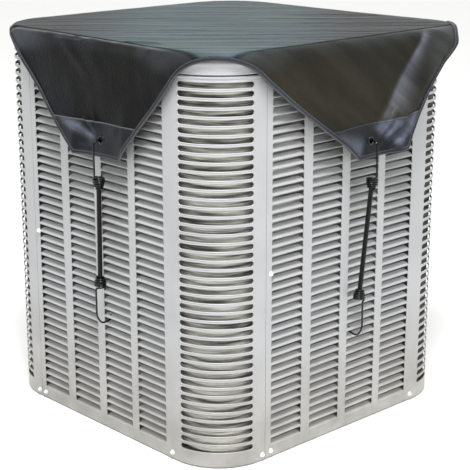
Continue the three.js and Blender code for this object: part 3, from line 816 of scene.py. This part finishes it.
def drop_loose(piece):
    def change(work):
        bmesh.ops.delete(work, geom=[v for v in work.verts if not v.link_faces], context="VERTS")
    edit(piece, change)


def punch(piece, faces, reach):
    """Opens cloth where eyelets go through. Their flanges cover the cut."""
    middles = [Vector(cloth_points(eyelet_flat(face))) * MM for face in faces]

    def change(work):
        gone = []
        for part in work.faces:
            place = part.calc_center_median()
            if min((place - middle).length for middle in middles) < reach * MM:
                gone.append(part)
        bmesh.ops.delete(work, geom=gone, context="FACES")
    edit(piece, change)


def octagon(inset):
    """Corners of the cloth's outline, moved in by an inset, counterclockwise in the flat pattern."""
    reach = TIP_REACH - inset
    half = math.sqrt(2) * (SHEET_SIDE / 2 - inset) - reach
    return np.array([
        face.normal * reach + side * face.along * half for face in FACES.values() for side in (-1, 1)
    ])


def outline_points(inset):
    """Points round the outline, the same number for every inset."""
    full = octagon(0)
    moved = octagon(inset)
    points = []
    for index in range(8):
        start, end = full[index], full[(index + 1) % 8]
        count = max(2, round(float(np.linalg.norm(end - start)) / OUTLINE_STEP))
        share = (np.arange(count) / count)[:, None]
        points.append(moved[index] * (1 - share) + moved[(index + 1) % 8] * share)
    return np.concatenate(points)


# Section through the hem: distance in from the edge, height above the cloth's middle
HEM_SECTION = (
    (HEM_WIDTH + 0.4, 0.4), (HEM_WIDTH, 1.9), (8.4, 2.2), (7.4, 1.5), (6.4, 2.2), (4.2, 2.5), (2.2, 2.5),
    (0.5, 1.8), (0.0, 0.2), (0.3, -1.2), (1.6, -1.7), (6.0, -1.6), (HEM_WIDTH, -1.4), (HEM_WIDTH + 0.4, -0.4),
)
# How much each line of that section is lighter: rubbed wear, with a painted highlight along the hem's folded
# edge
HEM_WEAR_AND_HIGHLIGHT = (0.0, 0.15, 0.35, 0.0, 0.08, 0.0, 0.4, 0.9, 0.9, 0.2, 0.0, 0.0, 0.0, 0.0)
HEM_STITCH_INSET, HEM_STITCH_UP = 7.4, 1.8
# How far apart the points of the outline lie
OUTLINE_STEP = 5.0


def make_hem(material):
    rings = [outline_points(inset) for inset, _ in HEM_SECTION]
    points = [cloth_points(ring, height) for ring, (_, height) in zip(rings, HEM_SECTION)]
    flat = np.concatenate([grain(ring) for ring in rings])
    faces = grid_faces(len(rings), len(rings[0]), close_rows=True, close_columns=True)
    hem = mesh_object("cover_hem", np.concatenate(points), faces, material, flat=flat)
    set_values(hem, "wear_and_highlight", np.repeat(HEM_WEAR_AND_HIGHLIGHT, len(rings[0])))
    set_tint_and_painted_light(hem, np.ones((len(flat), 3)))
    return hem


def set_values(piece, name, values):
    piece.data.attributes.new(name, "FLOAT", "POINT").data.foreach_set("value", values)


def set_tint_and_painted_light(piece, colours):
    """Tints the cloth point by point, painted light included. 1 leaves it as it is."""
    colours = np.concatenate([colours, np.ones((len(colours), 1))], axis=1)
    piece.data.attributes.new("tone_and_painted_light", "FLOAT_COLOR", "POINT").data.foreach_set("color", colours.ravel())


# Line of one stitch: share of its length, height above its row
STITCH_LINE = ((0.0, -0.3), (0.3, 0.25), (0.7, 0.25), (1.0, -0.3))
STITCH_LENGTH, STITCH_GAP, STITCH_RADIUS = 3.2, 1.6, 0.32


def stitch_row(flat_line, height):
    """Small thread capsules along a line in the flat pattern."""
    flat_line = np.asarray(flat_line, dtype=float)
    spans = np.linalg.norm(np.diff(flat_line, axis=0), axis=1)
    place = np.concatenate([[0], np.cumsum(spans)])
    shares, lifts = np.array(STITCH_LINE).T
    parts = []
    for start in np.arange(STITCH_GAP, place[-1] - STITCH_LENGTH, STITCH_LENGTH + STITCH_GAP):
        marks = start + STITCH_LENGTH * shares
        flat = np.stack([np.interp(marks, place, flat_line[:, axis]) for axis in (0, 1)], axis=1)
        points, faces, _ = sweep(cloth_points(flat, height + lifts), STITCH_RADIUS, 5)
        parts.append((points, faces))
    return join_parts(parts)


def join_parts(parts):
    points, faces = [], []
    for more_points, more_faces in parts:
        offset = len(points)
        points.extend(more_points)
        faces.extend(tuple(offset + index for index in face) for face in more_faces)
    return points, faces


def make_hem_stitches(material):
    ring = outline_points(HEM_STITCH_INSET)
    points, faces = stitch_row(np.concatenate([ring, ring[:1]]), HEM_STITCH_UP)
    return mesh_object("cover_hem_stitches", points, faces, material)


# Patches

# A patch's height above the cloth's middle and its points across
PATCH_UP, PATCH_COLUMNS = 2.05, 65
# Its plain rows: how far down from its top edge they begin, and their distance
PATCH_PLAIN_FROM, PATCH_PLAIN_STEP = 10.0, 3.0
# Rows of a patch near its top edge: distance down from it, height above the cloth's middle, how much it is
# lighter: rubbed wear, with a painted highlight along the turned-under edge
PATCH_ROWS = (
    (0.0, 0.75, 0.3), (0.6, 1.9, 0.8), (1.6, 2.25, 0.8), (3.0, 1.95, 0.2), (4.4, 2.2, 0.0),
    (7.0, PATCH_UP, 0.0),
)
# Painted shade: the south patch's lighter seam line is dimmed to this share of the others', as it lies in the
# flap's shade
SOUTH_SEAM_HIGHLIGHT_SHARE = 0.3
# The stitches of a patch: distance down from its top, height, share of the width, points along the line
PATCH_STITCH_DOWN, PATCH_STITCH_UP, PATCH_STITCH_SHARE, PATCH_STITCH_STEPS = 3.0, 2.0, 0.99, 60


def patch_flat(face, up, side_share):
    """A point of a patch: up from its lower edge, and its share of the width there, from -1 to 1."""
    outwards = TIP_REACH - HEM_WIDTH - up
    half = math.sqrt(2) * (SHEET_SIDE / 2 - HEM_WIDTH) - outwards
    return face.normal * outwards + face.along * side_share * half


def make_patch(face, material):
    """A doubled piece over the tip. Its top edge is turned under and sewn, the others run under the hem."""
    rows = [(PATCH_HEIGHT - down, height, wear_and_highlight) for down, height, wear_and_highlight in PATCH_ROWS]
    plain = np.arange(PATCH_HEIGHT - PATCH_PLAIN_FROM, -0.5, -PATCH_PLAIN_STEP)
    rows += [(up, PATCH_UP, 0.0) for up in plain]
    ups, heights, wear_and_highlight = zip(*rows)
    flat = [patch_flat(face, up, share) for up in ups for share in np.linspace(-1, 1, PATCH_COLUMNS)]
    points = cloth_points(flat, np.repeat(heights, PATCH_COLUMNS))
    faces = [quad[::-1] for quad in grid_faces(len(rows), PATCH_COLUMNS)]
    patch = mesh_object(f"patch_{face.name}_sewn", points, faces, material, flat=grain(flat))
    seam_highlight_share = SOUTH_SEAM_HIGHLIGHT_SHARE if face.name == "south" else 1.0
    set_values(patch, "wear_and_highlight", np.repeat(wear_and_highlight, PATCH_COLUMNS) * seam_highlight_share)
    set_tint_and_painted_light(patch, patch_painted_sheen(flat))
    punch(patch, [face], PATCH_CUT)
    shares = np.linspace(-PATCH_STITCH_SHARE, PATCH_STITCH_SHARE, PATCH_STITCH_STEPS)
    line = [patch_flat(face, PATCH_HEIGHT - PATCH_STITCH_DOWN, share) for share in shares]
    points, faces = stitch_row(line, PATCH_STITCH_UP)
    stitches = mesh_object(f"patch_{face.name}_stitches", points, faces, material)
    return patch, stitches


# Eyelets and bungees

def face_point(face, along, out, up):
    return np.array([*(face.normal * out + face.along * along), up])


def face_place(face, point):
    """(along, out, up) of a point, seen from a face."""
    return point[:2] @ face.along, point[:2] @ face.normal, point[2]


# Section of an eyelet: radius, height above the cloth's middle
EYELET_SECTION = (
    (5.5, -2.0), (6.2, -2.3), (8.9, -2.3), (9.4, -1.9), (9.2, -1.3), (6.6, -1.1), (6.6, 2.2), (9.2, 2.4),
    (9.5, 2.8), (9.2, 3.2), (8.2, 3.6), (6.8, 3.8), (5.9, 3.5), (5.5, 2.9),
)


def make_eyelet(face, material):
    spot = eyelet_flat(face)
    middle = cloth_points(spot)
    step = 3.0
    across = cloth_points(spot + (step, 0)) - cloth_points(spot - (step, 0))
    upward = cloth_points(spot + (0, step)) - cloth_points(spot - (0, step))
    normal = np.cross(across, upward)
    normal /= np.linalg.norm(normal)
    across /= np.linalg.norm(across)
    other = np.cross(normal, across)
    sides = 40
    points = []
    for radius, height in EYELET_SECTION:
        for angle in 2 * math.pi * np.arange(sides) / sides:
            rim = math.cos(angle) * across + math.sin(angle) * other
            points.append(middle + normal * height + radius * rim)
    faces = grid_faces(len(EYELET_SECTION), sides, close_rows=True, close_columns=True)
    return mesh_object(f"eyelet_{face.name}_rim", points, faces, material)


def helix(start, end, start_direction):
    """A coil's line from its wide end to its narrow one, beginning on the given side."""
    axis = (end - start) / np.linalg.norm(end - start)
    first = start_direction - axis * np.dot(start_direction, axis)
    first /= np.linalg.norm(first)
    second = np.cross(axis, first)
    length = np.linalg.norm(end - start) - 2 * WIRE_RADIUS
    points = []
    for share in np.linspace(0, 1, COIL_TURNS * COIL_STEPS + 1):
        narrowed = smooth_step((share - COIL_NARROWS_FROM) / (1 - COIL_NARROWS_FROM))
        radius = COIL_WIDE + (COIL_NARROW - COIL_WIDE) * narrowed
        angle = 2 * math.pi * COIL_TURNS * share
        side = math.cos(angle) * first + math.sin(angle) * second
        points.append(start + axis * (WIRE_RADIUS + length * share) + radius * side)
    return points


def bungee_places(face):
    """The line of each hook and the two ends of the cord."""
    hole = drape(lay_flat(eyelet_flat(face)))
    along, hole_out, hole_up = face_place(face, hole)
    bend_out = hole_out + UPPER_BEND_FROM_CLOTH
    bend_up = hole_up - EYELET_INNER + WIRE_RADIUS + UPPER_SEAT - UPPER_BEND_UP
    shank = bend_out + UPPER_BEND_OUT
    coil_up = hole_up - UPPER_HOOK_LENGTH
    upper = [(bend_out - UPPER_BEND_OUT - UPPER_TIP_IN, bend_up - UPPER_TIP_DOWN)]
    for angle in np.linspace(math.pi, 0, BEND_STEPS):
        upper.append((bend_out + UPPER_BEND_OUT * math.cos(angle), bend_up + UPPER_BEND_UP * math.sin(angle)))
    upper.append((shank, 0.5 * (bend_up + coil_up)))
    upper.append((shank, coil_up + SHANK_BEFORE_COIL))

    low_along = along + face.drift
    lip = LOWEST_LIP + face.hooked_lip * LOUVRE_PITCH
    low_shank = PANEL_OUT + LOWER_SHANK_OUT
    low_coil = lip + LOWER_HOOK_LENGTH
    lower = [(PANEL_OUT + out, lip + rise) for out, rise in LOWER_BEND]
    lower.append((low_shank, lip + LOWER_SHANK_AT * LOWER_HOOK_LENGTH))
    lower.append((low_shank, low_coil - SHANK_BEFORE_COIL))
    return (
        [face_point(face, along, *place) for place in upper],
        [face_point(face, low_along, *place) for place in lower],
        face_point(face, along, shank - COIL_WIDE, coil_up),
        face_point(face, low_along, low_shank - COIL_WIDE, low_coil),
    )


def make_bungee(face, wire, sheath):
    upper, lower, start, end = bungee_places(face)
    pull = (end - start) / np.linalg.norm(end - start)
    outward = np.array([*face.normal, 0.0])
    upper_end = start + pull * COIL_LENGTH
    lower_end = end - pull * COIL_LENGTH
    for label, line, wide, narrow in (("upper", upper, start, upper_end), ("lower", lower, end, lower_end)):
        path = smooth_line([*line, *helix(wide, narrow, outward)[2:]], WIRE_STEP)
        points, faces, flat = sweep(path, WIRE_RADIUS)
        hook = mesh_object(f"{label}_hook_{face.name}_wire", points, faces, wire, flat=flat)
        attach(hook, "root")
        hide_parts(f"{label}_hook_{face.name}")
    first, last = upper_end - pull * CORD_IN_COIL, lower_end + pull * CORD_IN_COIL
    path = [first + (last - first) * share for share in np.linspace(0, 1, CORD_STEPS)]
    points, faces, flat = sweep(path, CORD_RADIUS, CORD_SIDES)
    cord = mesh_object(f"cord_{face.name}_braid", points, faces, sheath, flat=flat)
    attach(cord, "root")
    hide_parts(f"cord_{face.name}")
    return cord


# Cabinet

def panel_place(face, s, up, depth):
    """A point of a wrap panel: s along the sheet from the middle of its face, round the corner after it."""
    if s <= CORE_HALF:
        place = (s, PANEL_OUT - depth)
    elif s <= CORE_HALF + PANEL_ARC:
        angle = (s - CORE_HALF) / PANEL_RADIUS
        radius = PANEL_RADIUS - depth
        place = (CORE_HALF + radius * math.sin(angle), CORE_HALF + radius * math.cos(angle))
    else:
        place = (PANEL_OUT - depth, CORE_HALF - (s - CORE_HALF - PANEL_ARC))
    return face_point(face, *place, up)


class Sheet:
    """Collects faces of a punched panel as (s, up, depth) points."""

    def __init__(self):
        self.points = []
        self.faces = []

    def patch(self, rows):
        """Quads through rows of equal length."""
        start = len(self.points)
        width = len(rows[0])
        for row in rows:
            self.points.extend(row)
        self.faces.extend(grid_faces(len(rows), width, start))

    def block(self, s_values, bottom, top):
        self.patch([[(s, bottom, 0) for s in s_values], [(s, top, 0) for s in s_values]])


def mirrored(pairs, side_sum):
    """The same pairs on an opening's other side, in reverse order. side_sum is its left plus its right."""
    return [((side_sum - a, b), (side_sum - c, d)) for (a, b), (c, d) in reversed(pairs)]


def window_outline(left, right, bottom, top):
    """(hole point, cell point) pairs over a louvre's window, from its lower left round to its lower right."""
    cell_left, cell_top = left - LOUVRE_MARGIN, top + LIP_STRIP / 2
    pairs = [((left, up), (cell_left, up)) for up in (bottom, top - WINDOW_ROUND)]
    for angle in (30, 45, 60, 90):
        turn = math.radians(angle)
        hole = (left + WINDOW_ROUND * (1 - math.cos(turn)), top - WINDOW_ROUND * (1 - math.sin(turn)))
        cell = (hole[0] if angle > 45 else cell_left, hole[1] if angle < 45 else cell_top)
        pairs.append((hole, cell))
    straight = np.linspace(left + WINDOW_ROUND, right - WINDOW_ROUND, WINDOW_STEPS + 1)[1:-1]
    return pairs + [((s, top), (s, cell_top)) for s in straight] + mirrored(pairs, left + right)


# How far in from the window's sides a lip stands fully proud, and its points there
LIP_END, LIP_STEPS = 4.0, 8
# Its shares of that at the window's sides and at the slat's foot
LIP_SIDE_SHARE, LIP_FOOT_SHARE = 0.4, 0.3
# Section of a lip: share of the strip's height, share of how far it stands proud
LIP_SECTION = ((0.5, 0.0), (0.8, 1.0), (1.0, LIP_FOOT_SHARE))
# Places in a slat's rounded end, and points between its ends
SLAT_END_PLACES, SLAT_STEPS = (0.0, 1.5, 3.5, 6.5), 6
# Section of a slat from its foot: rise above the foot and depth behind the panel, as shares of its whole
SLAT_SECTION = ((0.0, 0.0), (0.1, 0.03), (0.24, 0.15), (0.42, 0.36), (0.62, 0.6), (0.82, 0.82), (1.0, 1.0))


def add_louvre(sheet, left, right, lip):
    """One louvre above a lip: the sheet round its window, the window's cut edge and the slat."""
    bottom, top = lip + LIP_STRIP, lip + LOUVRE_PITCH
    pairs = window_outline(left, right, bottom, top)
    cell = [(s, up, 0) for _, (s, up) in pairs]
    hole = [(s, up, 0) for (s, up), _ in pairs]
    sheet.patch([cell, hole, [(s, up, PANEL_THICKNESS) for s, up, _ in hole]])
    inner = np.linspace(left + LIP_END, right - LIP_END, LIP_STEPS)
    ends = [left - LOUVRE_MARGIN, left, *inner, right, right + LOUVRE_MARGIN]
    proud = [0, LIP_SIDE_SHARE, *[1] * LIP_STEPS, LIP_SIDE_SHARE, 0]
    sheet.patch([
        [(s, lip + rise * LIP_STRIP, -out * LIP_PROUD * share) for s, share in zip(ends, proud)]
        for rise, out in LIP_SECTION
    ])
    across = [left + place for place in SLAT_END_PLACES]
    across += list(np.linspace(left + SLAT_CORNER_ALONG, right - SLAT_CORNER_ALONG, SLAT_STEPS))
    across += [right - place for place in reversed(SLAT_END_PLACES)]
    rows = []
    for rise, depth in SLAT_SECTION:
        row = []
        for s in across:
            from_end = min(s - left, right - s, SLAT_CORNER_ALONG) / SLAT_CORNER_ALONG
            bow = math.sqrt(1 - (1 - from_end) ** 2)
            share = SLAT_CORNER_SHARE + (1 - SLAT_CORNER_SHARE) * bow
            foot = LIP_FOOT_SHARE * LIP_PROUD * (1 - rise)
            row.append((s, bottom + SLAT_RISE * rise * share, SLAT_DEPTH * depth * share - foot))
        rows.append(row)
    sheet.patch(rows)


def slot_outline():
    """(hole point, cell point) pairs round a slot's upper half, left to right, up from the slot's middle."""
    half, cell_half = SLOT_HEIGHT / 2, LOUVRE_PITCH / 2
    pairs = []
    for angle in (0, 22.5, 45, 67.5, 90):
        turn = math.radians(angle)
        hole = (SLOT_FROM + half * (1 - math.cos(turn)), half * math.sin(turn))
        if angle <= 45:
            cell = (SLOT_FROM - SLOT_MARGIN, cell_half * math.tan(turn))
        else:
            cell = (SLOT_FROM + half - (half + SLOT_MARGIN) / math.tan(turn), cell_half)
        pairs.append((hole, cell))
    straight = np.linspace(SLOT_FROM + half, SLOT_TO - half, SLOT_STEPS + 1)[1:-1]
    return pairs + [((s, half), (s, cell_half)) for s in straight] + mirrored(pairs, SLOT_FROM + SLOT_TO)


def add_slot(sheet, pairs, middle):
    """One slot at a height: the sheet round it, its raised rim and its cut edge."""
    for sign in (1, -1):
        cell = [(s, middle + sign * up, 0) for _, (s, up) in pairs]
        rim = []
        for (s, up), _ in pairs:
            widened = up + SLOT_RIM_WIDTH * min(1, up / (SLOT_HEIGHT / 2))
            rim.append((s, middle + sign * widened, -SLOT_RIM_PROUD))
        hole = [(s, middle + sign * up, SLOT_EDGE_DEPTH) for (s, up), _ in pairs]
        rows = [cell, rim, hole, [(s, up, PANEL_THICKNESS) for s, up, _ in hole]]
        sheet.patch(rows if sign > 0 else [row[::-1] for row in rows])


BEAD_STEPS = 160
# Section of the rolled top edge of a panel: height from its top, depth
BEAD_SECTION = ((-5.0, 0.0), (-4.2, -0.7), (-2.6, -1.1), (-1.0, -0.7), (0.0, 0.8), (-0.4, 3.0), (-3.0, 5.0))


def make_panel(face, paint):
    """One wrap panel: a louvred face and the slotted corner after it."""
    sheet = Sheet()
    start = SEAM_ALONG + SEAM_HALF_GAP
    end = 2 * CORE_HALF + PANEL_ARC + SEAM_ALONG - SEAM_HALF_GAP
    louvre_bottom = LOWEST_LIP - LOUVRE_PITCH + LIP_STRIP / 2
    louvre_top = louvre_bottom + LOUVRE_ROWS * LOUVRE_PITCH
    edge = start
    for middle in LOUVRE_MIDDLES:
        left, right = middle - LOUVRE_WIDTH / 2, middle + LOUVRE_WIDTH / 2
        column = [left - LOUVRE_MARGIN, right + LOUVRE_MARGIN]
        sheet.block([edge, column[0]], PANEL_BOTTOM, PANEL_FLAT_TOP)
        sheet.block(column, PANEL_BOTTOM, louvre_bottom)
        sheet.block(column, louvre_top, PANEL_FLAT_TOP)
        for row in range(LOUVRE_ROWS):
            add_louvre(sheet, left, right, LOWEST_LIP + (row - 1) * LOUVRE_PITCH)
        edge = column[1]
    before_slots = np.linspace(CORE_HALF, SLOT_FROM - SLOT_MARGIN, 4)
    after_slots = np.linspace(SLOT_TO + SLOT_MARGIN, CORE_HALF + PANEL_ARC, 5)
    sheet.block([edge, *before_slots], PANEL_BOTTOM, PANEL_FLAT_TOP)
    sheet.block([*after_slots, end], PANEL_BOTTOM, PANEL_FLAT_TOP)
    pairs = slot_outline()
    run = sorted({round(cell[0], 6) for _, cell in pairs})
    sheet.block(run, PANEL_BOTTOM, SLOT_LOWEST - LOUVRE_PITCH / 2)
    sheet.block(run, SLOT_LOWEST + (SLOT_COUNT - 0.5) * LOUVRE_PITCH, PANEL_FLAT_TOP)
    for index in range(SLOT_COUNT):
        add_slot(sheet, pairs, SLOT_LOWEST + index * LOUVRE_PITCH)
    bead = np.linspace(start, end, BEAD_STEPS)
    sheet.patch([[(s, PANEL_TOP + rise, depth) for s in bead] for rise, depth in BEAD_SECTION])
    for s in (start, end):
        sheet.patch([[(s, up, depth) for up in (PANEL_BOTTOM, PANEL_FLAT_TOP)] for depth in (0, SEAM_DEPTH)])
    points = [panel_place(face, *point) for point in sheet.points]
    panel = mesh_object(f"wrap_panel_{face.name}_pressed", points, sheet.faces, paint)

    def change(work):
        bmesh.ops.remove_doubles(work, verts=work.verts, dist=0.02 * MM)
        for part in work.faces:
            middle = part.calc_center_median().xy
            core = Vector([max(-CORE_HALF, min(CORE_HALF, value / MM)) * MM for value in middle])
            if part.normal.xy.dot(middle - core) < -1e-6:
                part.normal_flip()
    edit(panel, change)
    sharpen(panel, degrees=35)
    return panel


def sharpen(piece, degrees):
    """Keeps edges sharper than an angle crisp under smooth shading."""
    def change(work):
        for edge in work.edges:
            if len(edge.link_faces) == 2 and edge.calc_face_angle(0) > math.radians(degrees):
                edge.smooth = False
    edit(piece, change)


def rounded_square_line(half, radius, corner_steps=16):
    """Points round a square with round corners, counterclockwise."""
    core = half - radius
    line = []
    for quarter, (x, y) in enumerate(((1, -1), (1, 1), (-1, 1), (-1, -1))):
        for step in range(corner_steps + 1):
            angle = math.pi / 2 * (quarter - 1 + step / corner_steps)
            line.append((x * core + radius * math.cos(angle), y * core + radius * math.sin(angle)))
    return line


CAP_LEAST_RADIUS = 0.5
# Section of the top cap: inset from its widest, height above the panels' top
CAP_SECTION = (
    (9.0, 2.4), (2.4, 2.4), (0.8, 2.7), (0.3, 3.8), (0.9, 5.2), (1.3, 9.0), (1.2, 15.0), (0.6, 18.0),
    (-0.6, 19.6), (-1.3, 21.6), (-1.3, 23.4), (-0.6, 25.4), (0.9, 26.8), (1.2, 29.0), (1.3, 34.5),
    (2.2, 37.6), (4.4, 39.5), (7.5, 40.0), (60.0, 40.0), (200.0, 40.0), (345.0, 40.0),
)


def make_cap(paint):
    rings = []
    for inset, up in CAP_SECTION:
        line = rounded_square_line(CABINET_HALF - inset, max(CORNER_RADIUS - inset, CAP_LEAST_RADIUS))
        rings.append([(x, y, CABINET_HEIGHT - CAP_HEIGHT + up) for x, y in line])
    faces = grid_faces(len(rings), len(rings[0]), close_columns=True)
    return mesh_object("top_cap_rolled", np.concatenate(rings), faces, paint)


# The coil behind the slots: half its width, its corners' radius, its lowest and highest fin, the fins' pitch
FIN_HALF, FIN_RADIUS, FIN_BOTTOM, FIN_TOP, FIN_PITCH = 332.0, 72.0, 27.0, 770.0, 4.3
FIN_CORNER_STEPS = 12
# Section of a fin: share of the pitch, depth
FIN_SECTION = ((0.0, 0.0), (0.3, 1.6), (0.7, 1.6))
# Painted light and shade: how much of the fins' own colour shows in the near corner, and in the others,
# painted darker as shade
FINS_LIT_NEAR, FINS_LIT_OTHER = 1.0, 0.3
# Painted shade: degrees from the middle of a corner at which the fins are painted black, and over how many
# they darken
FINS_SHADED_AT, FINS_SHADE_OVER = 46.0, 9.0


def make_fins(material):
    """The coil behind the slots: a rounded wall of close fins, seen only in the corners."""
    rings = []
    for up in np.arange(FIN_BOTTOM, FIN_TOP, FIN_PITCH):
        for share, depth in FIN_SECTION:
            line = rounded_square_line(FIN_HALF - depth, FIN_RADIUS - depth, FIN_CORNER_STEPS)
            rings.append([(x, y, up + share * FIN_PITCH) for x, y in line])
    points = np.concatenate(rings)
    faces = grid_faces(len(rings), len(rings[0]), close_columns=True)
    piece = mesh_object("condenser_core_fins", points, faces, material)
    past = np.maximum(np.abs(points[:, :2]) - CORE_HALF, 0)
    from_middle = np.abs(np.degrees(np.arctan2(past[:, 1], past[:, 0])) - 45)
    strength = np.where(np.all(points[:, :2] < 0, axis=1), FINS_LIT_NEAR, FINS_LIT_OTHER)
    # Painted light and shade: full fin colour in the near corner's slots, less in the others, near-black
    # behind the louvres and at the slots' ends
    set_values(piece, "corner", strength * smooth_step((FINS_SHADED_AT - from_middle) / FINS_SHADE_OVER))
    return piece


# Screws: along the face and height, for each panel
SCREWS = ((-226.0, 14.0), (-203.0, 15.0), (222.0, 15.0), (-206.0, 381.0))
# Rings of a screw's flange and of its hexagon head: radius, distance out from the panel
FLANGE_RINGS = ((5.4, 0.0), (5.4, 0.7), (4.8, 1.3))
HEAD_RINGS = ((3.8, 1.2), (3.8, 4.0), (3.0, 4.8))
FLANGE_SIDES, HEAD_SIDES, HEAD_TURN = 24, 6, 0.3


def disc(face, along, up, rings, sides, turn=0.0):
    """A disc on a face, from rings with a number of sides. Its outer end is closed."""
    points = []
    for radius, out in rings:
        for angle in 2 * math.pi * np.arange(sides) / sides + turn:
            x, y = radius * math.cos(angle), radius * math.sin(angle)
            points.append(face_point(face, along + x, PANEL_OUT + out, up + y))
    faces = grid_faces(len(rings), sides, close_columns=True)
    faces.append(tuple(range(len(points) - sides, len(points))))
    return points, faces


def make_screws(face, material):
    """Hexagon heads on round flanges."""
    parts = []
    for along, up in SCREWS:
        parts.append(disc(face, along, up, FLANGE_RINGS, FLANGE_SIDES))
        parts.append(disc(face, along, up, HEAD_RINGS, HEAD_SIDES, HEAD_TURN))
    points, faces = join_parts(parts)
    piece = mesh_object(f"screws_{face.name}", points, faces, material, smooth=False)

    def change(work):
        bmesh.ops.recalc_face_normals(work, faces=work.faces)
    edit(piece, change)
    return piece


set_camera()
set_light()
set_floor()

cover_cloth = cloth_material(
    "cover_cloth", dark=(0.0009, 0.0009, 0.0009), light=(0.0021, 0.0021, 0.0021), warm=(1.15, 1.04, 0.85),
    roughness=0.4,
)
patch_cloth = cloth_material(
    "patch_cloth", dark=(0.005, 0.0053, 0.0064), light=(0.0125, 0.0132, 0.016), warm=(0.95, 0.98, 1.1),
    roughness=0.33,
)
hem_cloth = cloth_material(
    "hem_cloth", dark=(0.009, 0.01, 0.012), light=(0.02, 0.022, 0.026), warm=(0.95, 0.98, 1.1), roughness=0.4,
)
thread = metal_material("thread_grey", (0.16, 0.16, 0.165), 0.0, 0.6)
paint = paint_material()
fins = fin_material()
enamel = metal_material("eyelet_metal", (0.005, 0.005, 0.006), 0.0, 0.12, 0.35)
wire = metal_material("hook_wire", (0.002, 0.002, 0.0022), 0.0, 0.13, 0.3)
zinc = metal_material("screw_zinc", (0.8, 0.79, 0.76), 0.3, 0.3)
sheath = cord_material()

for face in FACES.values():
    make_bungee(face, wire, sheath)

cloth = make_cloth(cover_cloth)
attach(cloth, "root")
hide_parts("cover")
hem = make_hem(hem_cloth)
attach(hem, "root")
hem_stitches = make_hem_stitches(thread)
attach(hem_stitches, "root")
on_cloth = [hem, hem_stitches]
for face in FACES.values():
    patch, patch_stitches = make_patch(face, patch_cloth)
    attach(patch, "root")
    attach(patch_stitches, "root")
    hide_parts("patch_" + face.name)
    eyelet = make_eyelet(face, enamel)
    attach(eyelet, "root")
    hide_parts("eyelet_" + face.name)
    on_cloth += [patch, patch_stitches, eyelet]

for face in FACES.values():
    panel = make_panel(face, paint)
    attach(panel, "root")
    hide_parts("wrap_panel_" + face.name)
    screws = make_screws(face, zinc)
    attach(screws, "root")
cap = make_cap(paint)
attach(cap, "root")
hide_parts("top_cap")
core = make_fins(fins)
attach(core, "root")
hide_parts("condenser_core")
base_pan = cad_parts["base_pan"]
base_pan.data.materials.clear()
base_pan.data.materials.append(paint)
